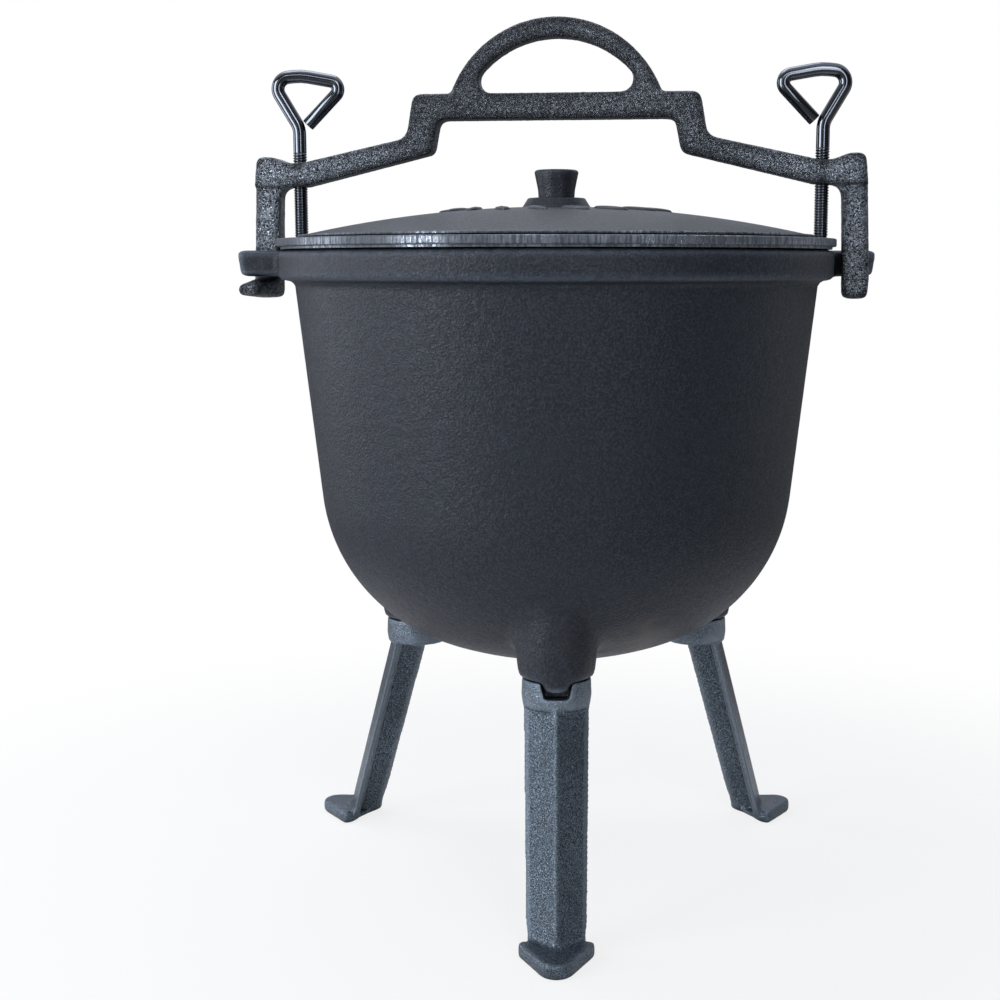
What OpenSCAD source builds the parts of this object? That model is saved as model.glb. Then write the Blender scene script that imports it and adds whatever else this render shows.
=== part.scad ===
// Cast iron cauldron on three legs, with a domed lid held down by a yoke and two clamp screws.
// The floor is z = 0, the pot's axis is Z, the lugs stand on the X axis and one leg points to -Y.

/* [Pot] */
// Height of the rim above the floor
rim_z = 357; // [345:1:380]
// Outer diameter of the bowl's sloping side, measured at the rim
bowl_d = 297; // [285:1:310]
// How far the band around the rim stands out of the bowl's side
band_reach = 6.5; // [4:0.1:10]
// Height of the band
band_h = 16.8; // [15.6:0.2:22]
// Outward slope of the bowl's side
bowl_taper = 0.11; // [0.08:0.01:0.14]
// Depth of the bowl outside, from the rim to its lowest point
bowl_depth = 231.6; // [228:0.2:236]
// Outer radius of the turn between the side and the bottom
knuckle_r = 98; // [90:0.5:106]
// Outer radius of the shallow bottom
bottom_r = 200; // [184:1:216]
// Wall thickness of the bowl
pot_wall = 4.5; // [3.5:0.1:6]
// Height of the raised seat ring on the rim
seat_h = 1.4; // [0.8:0.1:2.5]
// Width of the raised seat ring
seat_w = 5; // [3:0.5:7]

/* [Lugs] */
// How far each lug stands out of the band
lug_reach = 24.3; // [22:0.1:28]
// Width of a lug
lug_w = 19; // [15:0.5:24]
// Height of a lug
lug_h = 14.6; // [12:0.2:15.4]

/* [Leg bosses] */
// Distance of each leg boss and its bolt inwards from the bowl's side at the rim
boss_inset = 49.7; // [46:0.1:56]
// Diameter of a boss at its lower end
boss_d = 40.2; // [38:0.2:43]
// Height of the bosses' lower faces above the lowest point of the bowl
boss_lift = 10.3; // [8:0.1:14]
// Height of the tongue that keeps the leg from turning
tongue_h = 4.8; // [3:0.1:6]
// Width of the tongue at its lower end
tongue_w = 11.2; // [9:0.1:14]

/* [Legs] */
// Diameter of the drum at the top of a leg
drum_d = 37; // [36:0.2:39]
// Height of the drum
drum_h = 15.2; // [13:0.1:18]
// Depth of the notch that takes the boss's tongue
notch_h = 8.5; // [7:0.1:10]
// Distance of the leg's ridge outwards from its bolt, just under the drum
ridge_top_reach = 19.5; // [18.5:0.1:21.5]
// Distance of the leg's ridge outwards from its bolt, at the floor
ridge_foot_reach = 55.6; // [51:0.1:60]
// Width across the leg's two flanges, just under the drum
leg_top_w = 35.8; // [33:0.2:36]
// Width across the leg's two flanges, at the floor
leg_foot_w = 32.4; // [29:0.2:35]
// Angle between the leg's two flanges
leg_v_angle = 96; // [90:1:104]
// Thickness of the flanges
leg_wall = 5; // [4:0.1:6.5]

/* [Feet] */
// Thickness of a foot
foot_t = 8.3; // [6:0.1:11]
// Width of a foot
foot_w = 40.2; // [37:0.2:43]
// Distance of the toe's tip outwards from the leg's bolt
toe_reach = 73.2; // [69:0.1:79]
// Distance of the foot's straight back edge outwards from the leg's bolt
heel_reach = 41.7; // [39:0.1:43]
// Radius of the toe
toe_round = 9.5; // [7:0.5:12]
// Thickness of the floor in the pocket between the flanges
pocket_floor = 3; // [2:0.1:4]

/* [Lid] */
// How far the lid's flange reaches past the band
lid_reach = 1; // [0.6:0.1:4]
// Thickness of the flange
flange_t = 4.4; // [3.5:0.1:6]
// Distance of the step around the dome's foot from the lid's edge
step_inset = 11.5; // [10:0.1:14]
// Height of the step
step_h = 2.2; // [1:0.1:3]
// Distance of the dome's foot from the step's edge
dome_inset = 3.5; // [2:0.1:6]
// Rise of the dome above the step
dome_rise = 15.8; // [12:0.1:20]
// Wall thickness of the lid
lid_wall = 4; // [3:0.1:5]
// Depth of the rib that keeps the lid centred in the pot's mouth
rib_h = 5; // [3:0.5:8]
// Thickness of that rib
rib_t = 4; // [3:0.1:5]
// Diameter of the pad under the knob, at its top
pad_d = 32; // [28:0.5:36]
// Height of the pad above the dome's crown
pad_h = 5; // [3:0.1:7]
// Number of leaves in the ring on the dome
leaf_count = 18; // [12:1:22]
// Length of a leaf
leaf_l = 20; // [16:0.5:24]
// Width of a leaf
leaf_w = 8.5; // [6:0.5:10]
// Height of the leaves above the dome
leaf_h = 1.6; // [1:0.1:2.4]
// Distance of the leaves from the knob's axis
leaf_ring_r = 58; // [50:1:70]
// Slant of the leaves
leaf_tilt = 38; // [20:1:60]

/* [Knob] */
// Height of the knob
knob_h = 15.6; // [13:0.1:18]
// Diameter of the knob at its foot
knob_foot_d = 20.8; // [18:0.1:24]
// Diameter of the knob at its top
knob_top_d = 25; // [22:0.1:30]
// Thread diameter of the knob's screw
knob_screw_d = 8; // [6:1:10]
// Length of the knob's screw
knob_screw_l = 22; // [19:1:23]

/* [Yoke] */
// Depth of the yoke's bar, arms and legs
yoke_t = 17; // [14:0.5:20]
// Free height between the knob and the yoke's bar
bar_gap = 27.5; // [26:0.5:36]
// Height of the bar
bar_h = 14.6; // [12:0.1:18]
// Half the length of the bar, at its upper corners
bar_half = 80.3; // [77:0.1:82]
// Half the width of the gap under the bar
gap_half = 66; // [62:0.5:68]
// Free height between the lid's flange and the ends of the arms
clamp_room = 29.4; // [28.5:0.1:34]
// Height of the arms' ends
arm_end_h = 13.9; // [12:0.1:16]
// Depth of the end blocks
block_t = 19.6; // [18:0.2:24]
// Rise of the end blocks above the arms' ends
block_rise = 3.4; // [2:0.1:5]
// Thickness of the yoke's legs
grip_t = 14.8; // [12:0.1:16]
// How far the hooks reach out of the legs
hook_l = 27.5; // [24:0.5:31]
// Height of a hook at its root
hook_h = 12; // [10:0.5:14]
// Drop of a hook's upper face from its root to its tip
hook_drop = 3.6; // [2:0.1:5]

/* [Arch grip] */
// Height of the arch above the bar
arch_h = 41; // [38:0.5:48]
// Outer radius of the arch
arch_r = 63.3; // [58:0.1:66]
// Thickness of the arch at its crown
arch_t = 11.4; // [9:0.1:13]
// Radius of the opening's curve
opening_r = 56.3; // [53:0.1:60]
// Radius of the opening's lower corners
opening_round = 7; // [4:0.5:9]
// Depth of the arch
arch_depth = 14; // [11:0.5:17]

/* [Clamp screws] */
// Thread diameter of the clamp screws
screw_d = 7.8; // [7:0.1:8.4]
// Length of a clamp screw from its tip to the bend of its eye
screw_l = 62.8; // [61:0.2:68]
// Length of its thread
thread_l = 49.6; // [48:0.2:54]
// Distance of the screws' axes from the edge of the lid
screw_inset = 8.7; // [8.3:0.1:9]
// Diameter of the plain rod and the eye
rod_d = 7.4; // [6:0.1:7.6]
// Height of the eye
eye_h = 30.5; // [27:0.5:36]
// How far the eye reaches past the screw's axis on its short side
eye_short = 16.8; // [14:0.2:20]
// How far the eye reaches past the screw's axis on its long side
eye_long = 29.3; // [26:0.2:33]

/* [Fasteners] */
// Thread diameter of the leg bolts
bolt_d = 8; // [6:1:8]
// Length of a leg bolt under its head
bolt_l = 25; // [20:1:28]
// Width across flats of a leg bolt's head
bolt_flats = 13; // [11:0.5:13.5]
// Outer diameter of a leg bolt's washer
washer_d = 16; // [15:0.5:17]
// Thickness of a leg bolt's washer
washer_t = 1.6; // [1.2:0.1:2]

/* [Fits] */
// Gap between the lid and the seat ring
seat_gap = 0.2; // [0.1:0.05:0.4]
// Gap between the lid's rib and the pot's mouth
mouth_gap = 1; // [0.5:0.1:2]
// Gap between the lid's edge and the yoke's legs
lid_edge_gap = 2.6; // [1.8:0.1:3.4]
// Gap between a hook and the lug above it
hook_gap = 0.3; // [0.2:0.05:0.6]
// Gap between a yoke leg and the side of its lug
lug_gap = 0.4; // [0.3:0.05:1]
// Gap between a clamp screw's tip and the lid
tip_gap = 0.25; // [0.15:0.05:0.5]
// Radial clearance of the threads
thread_gap = 0.05; // [0.02:0.01:0.1]
// Gap between the tongue and the sides of its notch
tongue_gap = 0.7; // [0.4:0.1:1.2]
// Radial clearance of the plain bolt holes
bolt_gap = 0.3; // [0.1:0.05:0.6]
// Clearance round and under a leg bolt's head and washer in the drum's recess
recess_gap = 0.5; // [0.3:0.1:0.8]

/* [Hidden] */

pot_iron = "#3a3e44";
lid_iron = "#34373c";
rough_iron = "#4a4e54";
black_steel = "#1d1f22";
plain_steel = "#8c9094";

round_fn = 128;
small_fn = 48;
arc_fn = 720;
arc_step = 12;
merge = 2;

front_azimuth = -90;
rear_left_azimuth = 150;
rear_right_azimuth = 30;

// Bowl
bowl_r = bowl_d / 2;
band_r = bowl_r + band_reach;
side_dir = unit([bowl_taper, 1]);
side_out = [side_dir.y, -side_dir.x];
bottom_centre = [0, rim_z - bowl_depth + bottom_r];
side_base = [bowl_r, rim_z] - knuckle_r * side_out;
knuckle_centre = side_base - side_dir * slide_back(side_base - bottom_centre, bottom_r - knuckle_r);
mouth_r = bowl_r - pot_wall / side_dir.y;
band_lower_round = 2.5;
band_upper_round = 1;
lug_tip_r = band_r + lug_reach;
lug_z = rim_z - lug_h;
lug_root_r = (mouth_r + band_r) / 2;
lug_draft = 1.8;
lug_round = 2.5;

// Leg bosses
boss_offset = bowl_r - boss_inset;
boss_round = 3;
boss_flare = 1.2;
boss_z = rim_z - bowl_depth + boss_lift;
boss_top_z = bowl_z(boss_offset + boss_d / 2 + boss_flare) + merge;
tongue_flare = 1;
tongue_inner_r = boss_offset + boss_d / 2 - 9;
tongue_set_in = 0.8;

// Legs
ridge_top_r = boss_offset + ridge_top_reach;
ridge_foot_r = boss_offset + ridge_foot_reach;
toe_r = boss_offset + toe_reach;
heel_r = boss_offset + heel_reach;
drum_z = boss_z - drum_h;
bolt_head_h = 0.64 * bolt_d;
recess_z = drum_z + recess_gap + bolt_head_h + washer_t;
bolt_hole_depth = bolt_l - washer_t - (boss_z - recess_z) + 1;
half_v = leg_v_angle / 2;
drum_blend_h = 6;
flange_lap_h = 10;
drum_foot_d = drum_d - 1.6;
drum_top_inset = 0.4;
side_slope = 0.5;
toe_apex_r = toe_r + toe_round * (sqrt(1 + side_slope * side_slope) / side_slope - 1);
foot_wide_r = toe_apex_r - (foot_w / 2 + 0.5) / side_slope;
foot_side_round = 3;
heel_inset = 2;

// Lid
lid_r = band_r + lid_reach;
step_r = lid_r - step_inset;
dome_r = step_r - dome_inset;
flange_z = rim_z + seat_h + seat_gap;
flange_top_z = flange_z + flange_t;
dome_z = flange_top_z + step_h;
crown_z = dome_z + dome_rise;
dome_curve_r = (dome_r * dome_r + dome_rise * dome_rise) / (2 * dome_rise);
rib_r = mouth_r - mouth_gap;
pad_top_z = crown_z + pad_h;
pad_slope = 3.5;
inner_pad_d = 26;
inner_pad_h = 1.5;
inner_pad_z = crown_z - lid_wall - inner_pad_h;
flange_round = 1.2;

// Knob
knob_top_z = pad_top_z + knob_h;
knob_round = 1.6;
knob_washer_d = 2 * knob_screw_d;
knob_washer_t = 1.6;
knob_head_h = 0.66 * knob_screw_d;
knob_flats = 1.625 * knob_screw_d;
knob_head_z = inner_pad_z - knob_washer_t;
knob_hole_depth = knob_head_z + knob_screw_l - pad_top_z + 1;

// Yoke
bar_z = knob_top_z + bar_gap;
bar_top_z = bar_z + bar_h;
arm_end_z = flange_top_z + clamp_room;
arm_end_top_z = arm_end_z + arm_end_h;
grip_in_u = lid_r + lid_edge_gap;
grip_lean = 0.8;
grip_out_u = grip_in_u + grip_t + grip_lean;
hook_top_z = lug_z - hook_gap;
hook_z = hook_top_z - hook_h;
hook_tip_h = 6.8;
hook_shift = 1.7;
hook_tip_v = yoke_t / 2 + hook_l;
screw_u = lid_r - screw_inset;
shoulder_round = 5;
riser_foot_u = bar_half + 4.1;
riser_foot_z = arm_end_top_z + 13.3;
riser_in_foot_u = gap_half + 3.6;
riser_in_foot_z = arm_end_z + 18.1;
block_in_u = screw_u + 5.5;
block_out_u = grip_out_u - 1.8;
yoke_rest_turn = asin((lug_w / 2 + lug_gap) / norm([grip_in_u, yoke_t / 2])) + atan(yoke_t / 2 / grip_in_u);
screw_hole_d = screw_d + 2 * thread_gap;

// Arch
arch_top_z = bar_top_z + arch_h;
arch_centre = [0, arch_top_z - arch_r];
opening_centre = [0, arch_top_z - arch_t - opening_r];
corner_centre_z = bar_top_z + opening_round;
corner_centre_u = sqrt(pow(opening_r - opening_round, 2) - pow(corner_centre_z - opening_centre.y, 2));
corner_angle = atan2(corner_centre_z - opening_centre.y, corner_centre_u);
arch_foot_angle = asin((bar_top_z - merge - arch_centre.y) / arch_r);

// Clamp screws
tip_z = flange_top_z + tip_gap;
tip_taper = 1.3;
thread_top_z = tip_z + thread_l;
bend_z = tip_z + screw_l;
bend_swell = 0.1;
bend_lap = 0.2;
neck_round = 12;
eye_round = 7.2;
eye_long_h = eye_h - 4.5;
eye_end = [6, 2.2];
eye_path = [
    [0, thread_top_z, 0],
    [0, bend_z, neck_round],
    [-eye_short, bend_z + eye_h, eye_round],
    [eye_long, bend_z + eye_long_h, eye_round],
    [eye_end.x, bend_z + eye_end.y, 0]
];

function unit(v) = v / norm(v);
function turned(v, a) = [v.x * cos(a) - v.y * sin(a), v.x * sin(a) + v.y * cos(a)];
function angle_of(v) = atan2(v.y, v.x);
function flat(p) = [p.x, p.y];
function mirrored(path) = [for (i = [len(path) - 1:-1:0]) [-path[i].x, path[i].y, path[i][2]]];

// How far a point at w slides back along the side until it is r away from the bottom arc's centre
function slide_back(w, r) = w * side_dir + sqrt(pow(w * side_dir, 2) - (w * w - r * r));

// Height of the bowl's outer surface on its knuckle, at radius r from the pot's axis
function bowl_z(r) = knuckle_centre.y - sqrt(knuckle_r * knuckle_r - pow(r - knuckle_centre.x, 2));

// Points of an arc about c from angle a to angle b
function arc(c, r, a, b) =
    let (steps = ceil(abs(b - a) / arc_step * 2))
    [for (i = [0:steps]) c + turned([r, 0], a + (b - a) * i / steps)];

// Half the angle at corner b of the path a, b, c
function half_angle(a, b, c) = acos(unit(a - b) * unit(c - b)) / 2;
function corner_centre(a, b, c, r) = b + unit(unit(a - b) + unit(c - b)) * r / sin(half_angle(a, b, c));
function corner_start(a, b, c, r) = b + unit(a - b) * r / tan(half_angle(a, b, c));

// Points of the corner b between a and c, rounded with radius r
function rounded_corner(a, b, c, r) =
    r <= 0 ? [b] :
    let (centre = corner_centre(a, b, c, r))
    let (start = corner_start(a, b, c, r) - centre)
    let (sweep = 180 - 2 * half_angle(a, b, c))
    let (side = sign(cross(b - a, c - b)))
    let (steps = max(1, ceil(sweep / arc_step)))
    [for (i = [0:steps]) centre + turned(start, side * sweep * i / steps)];

// Outline through the points of a path of [x, y, radius]
function rounded(path) =
    let (n = len(path))
    [for (i = [0:n - 1])
        each rounded_corner(flat(path[(i + n - 1) % n]), flat(path[i]), flat(path[(i + 1) % n]), path[i][2])];

// Solid between two outlines of equal length at two heights
module loft(low, high, z_low, z_high) {
    n = len(low);
    polyhedron(
        points = concat([for (p = low) [p.x, p.y, z_low]], [for (p = high) [p.x, p.y, z_high]]),
        faces = concat(
            [[for (i = [0:n - 1]) i]],
            [[for (i = [n - 1:-1:0]) n + i]],
            [for (i = [0:n - 1]) [i, n + i, n + (i + 1) % n, (i + 1) % n]]
        )
    );
}

// Outline in (u, z), extruded along v to both sides of v = 0
module upright(points, depth) {
    translate([0, depth / 2, 0])
        rotate([90, 0, 0])
            linear_extrude(depth)
                polygon(points);
}

// Outline in (t, z), extruded along the radius from r_low to r_high
module radial(points, r_low, r_high) {
    translate([r_low, 0, 0])
        rotate([90, 0, 90])
            linear_extrude(r_high - r_low)
                polygon(points);
}

// Pot

module bowl_profile(inset, top_z) {
    turn = unit(knuckle_centre - bottom_centre);
    over_z = top_z + merge;
    side_over_r = bowl_r - inset / side_dir.y + bowl_taper * (over_z - rim_z);
    intersection() {
        square([2 * band_r, top_z]);
        union() {
            translate(knuckle_centre)
                circle(r = knuckle_r - inset, $fn = arc_fn);
            intersection() {
                translate(bottom_centre)
                    circle(r = bottom_r - inset, $fn = arc_fn);
                polygon([bottom_centre, bottom_centre - [0, 1.5 * bottom_r], bottom_centre + 1.3 * bottom_r * turn]);
            }
            polygon([
                [0, over_z],
                [side_over_r, over_z],
                knuckle_centre + (knuckle_r - inset) * side_out,
                knuckle_centre,
                [0, knuckle_centre.y]
            ]);
        }
    }
}

module rim_profile() {
    polygon(rounded([
        [mouth_r - merge, rim_z - band_h, 0],
        [band_r, rim_z - band_h, band_lower_round],
        [band_r, rim_z, band_upper_round],
        [mouth_r + seat_w, rim_z, 0],
        [mouth_r + seat_w - seat_h / 2, rim_z + seat_h, 0],
        [mouth_r - merge, rim_z + seat_h, 0]
    ]));
}

module lug() {
    side = rounded([
        [lug_root_r, lug_z, 0],
        [lug_tip_r - lug_draft, lug_z, lug_round],
        [lug_tip_r, rim_z, 1],
        [lug_root_r, rim_z, 0]
    ]);
    plan = rounded([
        [lug_root_r - 1, -lug_w / 2, 0],
        [lug_tip_r + 1, -lug_w / 2, lug_round],
        [lug_tip_r + 1, lug_w / 2, lug_round],
        [lug_root_r - 1, lug_w / 2, 0]
    ]);
    intersection() {
        upright(side, lug_w + 2);
        translate([0, 0, lug_z - 1])
            linear_extrude(lug_h + 2)
                polygon(plan);
    }
}

module boss() {
    boss_r = boss_d / 2;
    translate([boss_offset, 0, 0])
        rotate_extrude($fn = small_fn)
            polygon(rounded([
                [0, boss_z, 0],
                [boss_r, boss_z, boss_round],
                [boss_r + boss_flare, boss_z + 4 * boss_round, 0],
                [boss_r + boss_flare, boss_top_z, 0],
                [0, boss_top_z, 0]
            ]));
}

// Trapezoid of the tongue, or of its notch when it is made wider and deeper
function tongue_outline(gap, height) = [
    [-tongue_w / 2 - gap, boss_z - height],
    [tongue_w / 2 + gap, boss_z - height],
    [tongue_w / 2 + gap + tongue_flare * height / tongue_h, boss_z],
    [tongue_w / 2 + gap + tongue_flare * height / tongue_h, boss_z + merge],
    [-tongue_w / 2 - gap - tongue_flare * height / tongue_h, boss_z + merge],
    [-tongue_w / 2 - gap - tongue_flare * height / tongue_h, boss_z]
];

module tongue() {
    intersection() {
        radial(tongue_outline(0, tongue_h), tongue_inner_r, boss_offset + boss_d);
        translate([boss_offset, 0, boss_z - tongue_h - 1])
            cylinder(d = boss_d - 2 * tongue_set_in, h = tongue_h + merge + 2, $fn = small_fn);
    }
}

module boss_hole() {
    translate([boss_offset, 0, boss_z - 1])
        cylinder(d = bolt_d + 2 * thread_gap, h = bolt_hole_depth + 1, $fn = small_fn);
}

module at_each_leg() {
    for (azimuth = [front_azimuth, rear_left_azimuth, rear_right_azimuth])
        rotate([0, 0, azimuth])
            children();
}

module pot() {
    color(pot_iron)
        difference() {
            union() {
                rotate_extrude($fn = round_fn)
                    bowl_profile(0, rim_z - band_upper_round);
                rotate_extrude($fn = round_fn)
                    rim_profile();
                lug();
                rotate([0, 0, 180])
                    lug();
                at_each_leg() {
                    boss();
                    tongue();
                }
            }
            rotate_extrude($fn = round_fn)
                bowl_profile(pot_wall, rim_z + seat_h + merge);
            at_each_leg()
                boss_hole();
        }
}

// Legs

// Section of the flanges, with the ridge at radius r and the tips half_w to each side
function v_section(r, half_w) =
    let (depth = half_w / tan(half_v), inner = half_w - leg_wall / cos(half_v))
    [
        [r, 0],
        [r - depth, half_w],
        [r - depth, inner],
        [r - leg_wall / sin(half_v), 0],
        [r - depth, -inner],
        [r - depth, -half_w]
    ];

// Space between the flanges, open towards the pot's axis
function v_space(r) =
    let (back = 40, front = leg_wall / sin(half_v))
    [
        [r - front, 0],
        [r - back, (back - front) * tan(half_v)],
        [r - back, -(back - front) * tan(half_v)]
    ];

function ridge_r(z) = ridge_foot_r + (ridge_top_r - ridge_foot_r) * z / drum_z;
function flange_half(z) = (leg_foot_w + (leg_top_w - leg_foot_w) * z / drum_z) / 2;

module foot() {
    difference() {
        linear_extrude(foot_t)
            polygon(rounded([
                [heel_r, -foot_w / 2 + heel_inset, 1.5],
                [foot_wide_r, -foot_w / 2 - 0.5, foot_side_round],
                [toe_apex_r, 0, toe_round],
                [foot_wide_r, foot_w / 2 + 0.5, foot_side_round],
                [heel_r, foot_w / 2 - heel_inset, 1.5]
            ]));
        loft(v_space(ridge_r(pocket_floor)), v_space(ridge_r(foot_t + 1)), pocket_floor, foot_t + 1);
    }
}

module flanges() {
    top_z = drum_z + flange_lap_h;
    loft(v_section(ridge_r(0), flange_half(0)), v_section(ridge_r(top_z), flange_half(top_z)), 0, top_z);
}

module drum() {
    translate([boss_offset, 0, drum_z])
        cylinder(d1 = drum_foot_d, d2 = drum_d, h = drum_blend_h, $fn = small_fn);
    translate([boss_offset, 0, drum_z + drum_blend_h])
        cylinder(d1 = drum_d, d2 = drum_d - 2 * drum_top_inset, h = drum_h - drum_blend_h, $fn = small_fn);
}

module leg() {
    difference() {
        union() {
            foot();
            flanges();
            drum();
        }
        radial(tongue_outline(tongue_gap, notch_h), tongue_inner_r - tongue_gap, boss_offset + drum_d);
        translate([boss_offset, 0, drum_z - 1]) {
            cylinder(d = bolt_d + 2 * bolt_gap, h = drum_h + 2, $fn = small_fn);
            cylinder(d = washer_d + 2 * recess_gap, h = recess_z - drum_z + 1, $fn = small_fn);
        }
    }
}

module leg_bolt() {
    translate([boss_offset, 0, recess_z - washer_t]) {
        cylinder(d = bolt_d, h = bolt_l, $fn = small_fn);
        translate([0, 0, -bolt_head_h])
            cylinder(d = bolt_flats / cos(30), h = bolt_head_h, $fn = 6);
    }
}

module leg_washer() {
    translate([boss_offset, 0, recess_z - washer_t])
        difference() {
            cylinder(d = washer_d, h = washer_t, $fn = small_fn);
            translate([0, 0, -1])
                cylinder(d = bolt_d + 2 * bolt_gap, h = washer_t + 2, $fn = small_fn);
        }
}

module front_leg() {
    color(rough_iron)
        rotate([0, 0, front_azimuth])
            leg();
}

module rear_left_leg() {
    color(rough_iron)
        rotate([0, 0, rear_left_azimuth])
            leg();
}

module rear_right_leg() {
    color(rough_iron)
        rotate([0, 0, rear_right_azimuth])
            leg();
}

module front_leg_bolt() {
    color(plain_steel)
        rotate([0, 0, front_azimuth])
            leg_bolt();
}

module rear_left_leg_bolt() {
    color(plain_steel)
        rotate([0, 0, rear_left_azimuth])
            leg_bolt();
}

module rear_right_leg_bolt() {
    color(plain_steel)
        rotate([0, 0, rear_right_azimuth])
            leg_bolt();
}

module front_leg_washer() {
    color(plain_steel)
        rotate([0, 0, front_azimuth])
            leg_washer();
}

module rear_left_leg_washer() {
    color(plain_steel)
        rotate([0, 0, rear_left_azimuth])
            leg_washer();
}

module rear_right_leg_washer() {
    color(plain_steel)
        rotate([0, 0, rear_right_azimuth])
            leg_washer();
}

// Lid

module dome_disc(shift, low_z, r) {
    intersection() {
        translate([0, crown_z - dome_curve_r])
            circle(r = dome_curve_r + shift, $fn = arc_fn);
        translate([0, low_z])
            square([r, crown_z + merge - low_z]);
    }
}

module lid_profile() {
    pad_root_z = crown_z - lid_wall / 2;
    pad_root_r = pad_d / 2 + pad_slope * (pad_top_z - pad_root_z) / pad_h;
    difference() {
        union() {
            polygon(rounded([
                [0, flange_z, 0],
                [lid_r, flange_z, flange_round],
                [lid_r, flange_top_z, flange_round],
                [step_r, flange_top_z, 0],
                [dome_r, dome_z, 0],
                [0, dome_z, 0]
            ]));
            dome_disc(0, dome_z - merge, dome_r);
            translate([rib_r - rib_t, flange_z - rib_h])
                square([rib_t, rib_h + merge]);
            polygon([[0, pad_root_z], [pad_root_r, pad_root_z], [pad_d / 2, pad_top_z], [0, pad_top_z]]);
        }
        difference() {
            dome_disc(-lid_wall, flange_z - rib_h - merge, rib_r - rib_t);
            translate([0, inner_pad_z])
                square([inner_pad_d / 2, inner_pad_h + lid_wall]);
        }
        square([knob_screw_d / 2 + bolt_gap, pad_top_z + 1]);
    }
}

module leaf() {
    curve_r = (leaf_l * leaf_l + leaf_w * leaf_w) / (4 * leaf_w);
    intersection() {
        translate([0, curve_r - leaf_w / 2])
            circle(r = curve_r, $fn = arc_fn);
        translate([0, leaf_w / 2 - curve_r])
            circle(r = curve_r, $fn = arc_fn);
    }
}

module leaf_ring() {
    for (i = [0:leaf_count - 1])
        rotate([0, 0, 360 / leaf_count * i])
            translate([0, 0, crown_z - dome_curve_r])
                rotate([0, asin(leaf_ring_r / dome_curve_r), 0])
                    translate([0, 0, dome_curve_r - lid_wall / 2])
                        rotate([0, 0, leaf_tilt])
                            linear_extrude(lid_wall / 2 + leaf_h)
                                leaf();
}

module lid() {
    color(lid_iron) {
        rotate_extrude($fn = round_fn)
            lid_profile();
        leaf_ring();
    }
}

module lid_knob() {
    color(lid_iron)
        difference() {
            rotate_extrude($fn = small_fn)
                polygon(rounded([
                    [0, pad_top_z, 0],
                    [knob_foot_d / 2, pad_top_z, 0],
                    [knob_top_d / 2, knob_top_z, knob_round],
                    [0, knob_top_z, 0]
                ]));
            translate([0, 0, pad_top_z - 1])
                cylinder(d = knob_screw_d + 2 * thread_gap, h = knob_hole_depth + 1, $fn = small_fn);
        }
}

module lid_knob_screw() {
    color(plain_steel)
        translate([0, 0, knob_head_z]) {
            cylinder(d = knob_screw_d, h = knob_screw_l, $fn = small_fn);
            translate([0, 0, -knob_head_h])
                cylinder(d = knob_flats / cos(30), h = knob_head_h, $fn = 6);
        }
}

module lid_knob_washer() {
    color(plain_steel)
        translate([0, 0, knob_head_z])
            difference() {
                cylinder(d = knob_washer_d, h = knob_washer_t, $fn = small_fn);
                translate([0, 0, -1])
                    cylinder(d = knob_screw_d + 2 * bolt_gap, h = knob_washer_t + 2, $fn = small_fn);
            }
}

// Yoke, in its own frame: u runs along the bar and v across it

module beam() {
    right_upper = [
        [bar_half, bar_top_z, shoulder_round],
        [riser_foot_u, riser_foot_z, 7],
        [screw_u - 2, arm_end_top_z, 12],
        [grip_in_u, arm_end_top_z, 0],
        [grip_in_u, arm_end_z, 0]
    ];
    right_lower = [
        [screw_u - 3, arm_end_z, 10],
        [riser_in_foot_u, riser_in_foot_z, 4.5],
        [gap_half, bar_z, 4]
    ];
    right = concat(right_upper, right_lower);
    upright(rounded(concat(right, mirrored(right))), yoke_t);
}

module arch() {
    outer = arc(arch_centre, arch_r, arch_foot_angle, 180 - arch_foot_angle);
    opening = concat(
        arc(opening_centre, opening_r, corner_angle, 180 - corner_angle),
        arc([-corner_centre_u, corner_centre_z], opening_round, 180 - corner_angle, 270),
        arc([corner_centre_u, corner_centre_z], opening_round, -90, corner_angle)
    );
    difference() {
        upright(outer, arch_depth);
        upright(opening, arch_depth + 2);
    }
}

module end_block() {
    upright(rounded([
        [block_in_u, arm_end_z, 0],
        [block_out_u, arm_end_z, 0.8],
        [block_out_u - 1.6, arm_end_top_z + block_rise, 4],
        [block_in_u + 9, arm_end_top_z + block_rise, 8],
        [block_in_u, arm_end_top_z, 0]
    ]), block_t);
}

module grip() {
    upright(rounded([
        [screw_u, arm_end_z + merge, 0],
        [screw_u, arm_end_z, 0],
        [grip_in_u - grip_lean, arm_end_z, 6],
        [grip_in_u + grip_lean, hook_z, 3.5],
        [grip_out_u - grip_lean, hook_z, 3.5],
        [grip_out_u, lug_z, 0],
        [block_out_u - 0.2, arm_end_z + merge, 0]
    ]), yoke_t);
}

module hook_slice(u_low, u_high, z_low, z_high, v) {
    round_r = 3;
    translate([0, v, 0])
        rotate([90, 0, 0])
            linear_extrude(1)
                polygon(rounded([
                    [u_low, z_low, round_r],
                    [u_high, z_low, round_r],
                    [u_high, z_high, round_r],
                    [u_low, z_high, round_r]
                ]));
}

module hook() {
    root_in_u = grip_in_u + grip_lean;
    root_out_u = grip_out_u - grip_lean;
    tip_top_z = hook_top_z - hook_drop;
    hull() {
        hook_slice(root_in_u, root_out_u, hook_z, hook_top_z, yoke_t / 2);
        hook_slice(root_in_u + 3, root_out_u + hook_shift, tip_top_z - hook_tip_h, tip_top_z, hook_tip_v);
    }
}

module yoke_end() {
    end_block();
    grip();
    hook();
}

module screw_hole() {
    translate([screw_u, 0, arm_end_z - 10])
        cylinder(d = screw_hole_d, h = arm_end_h + 20, $fn = small_fn);
}

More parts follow.
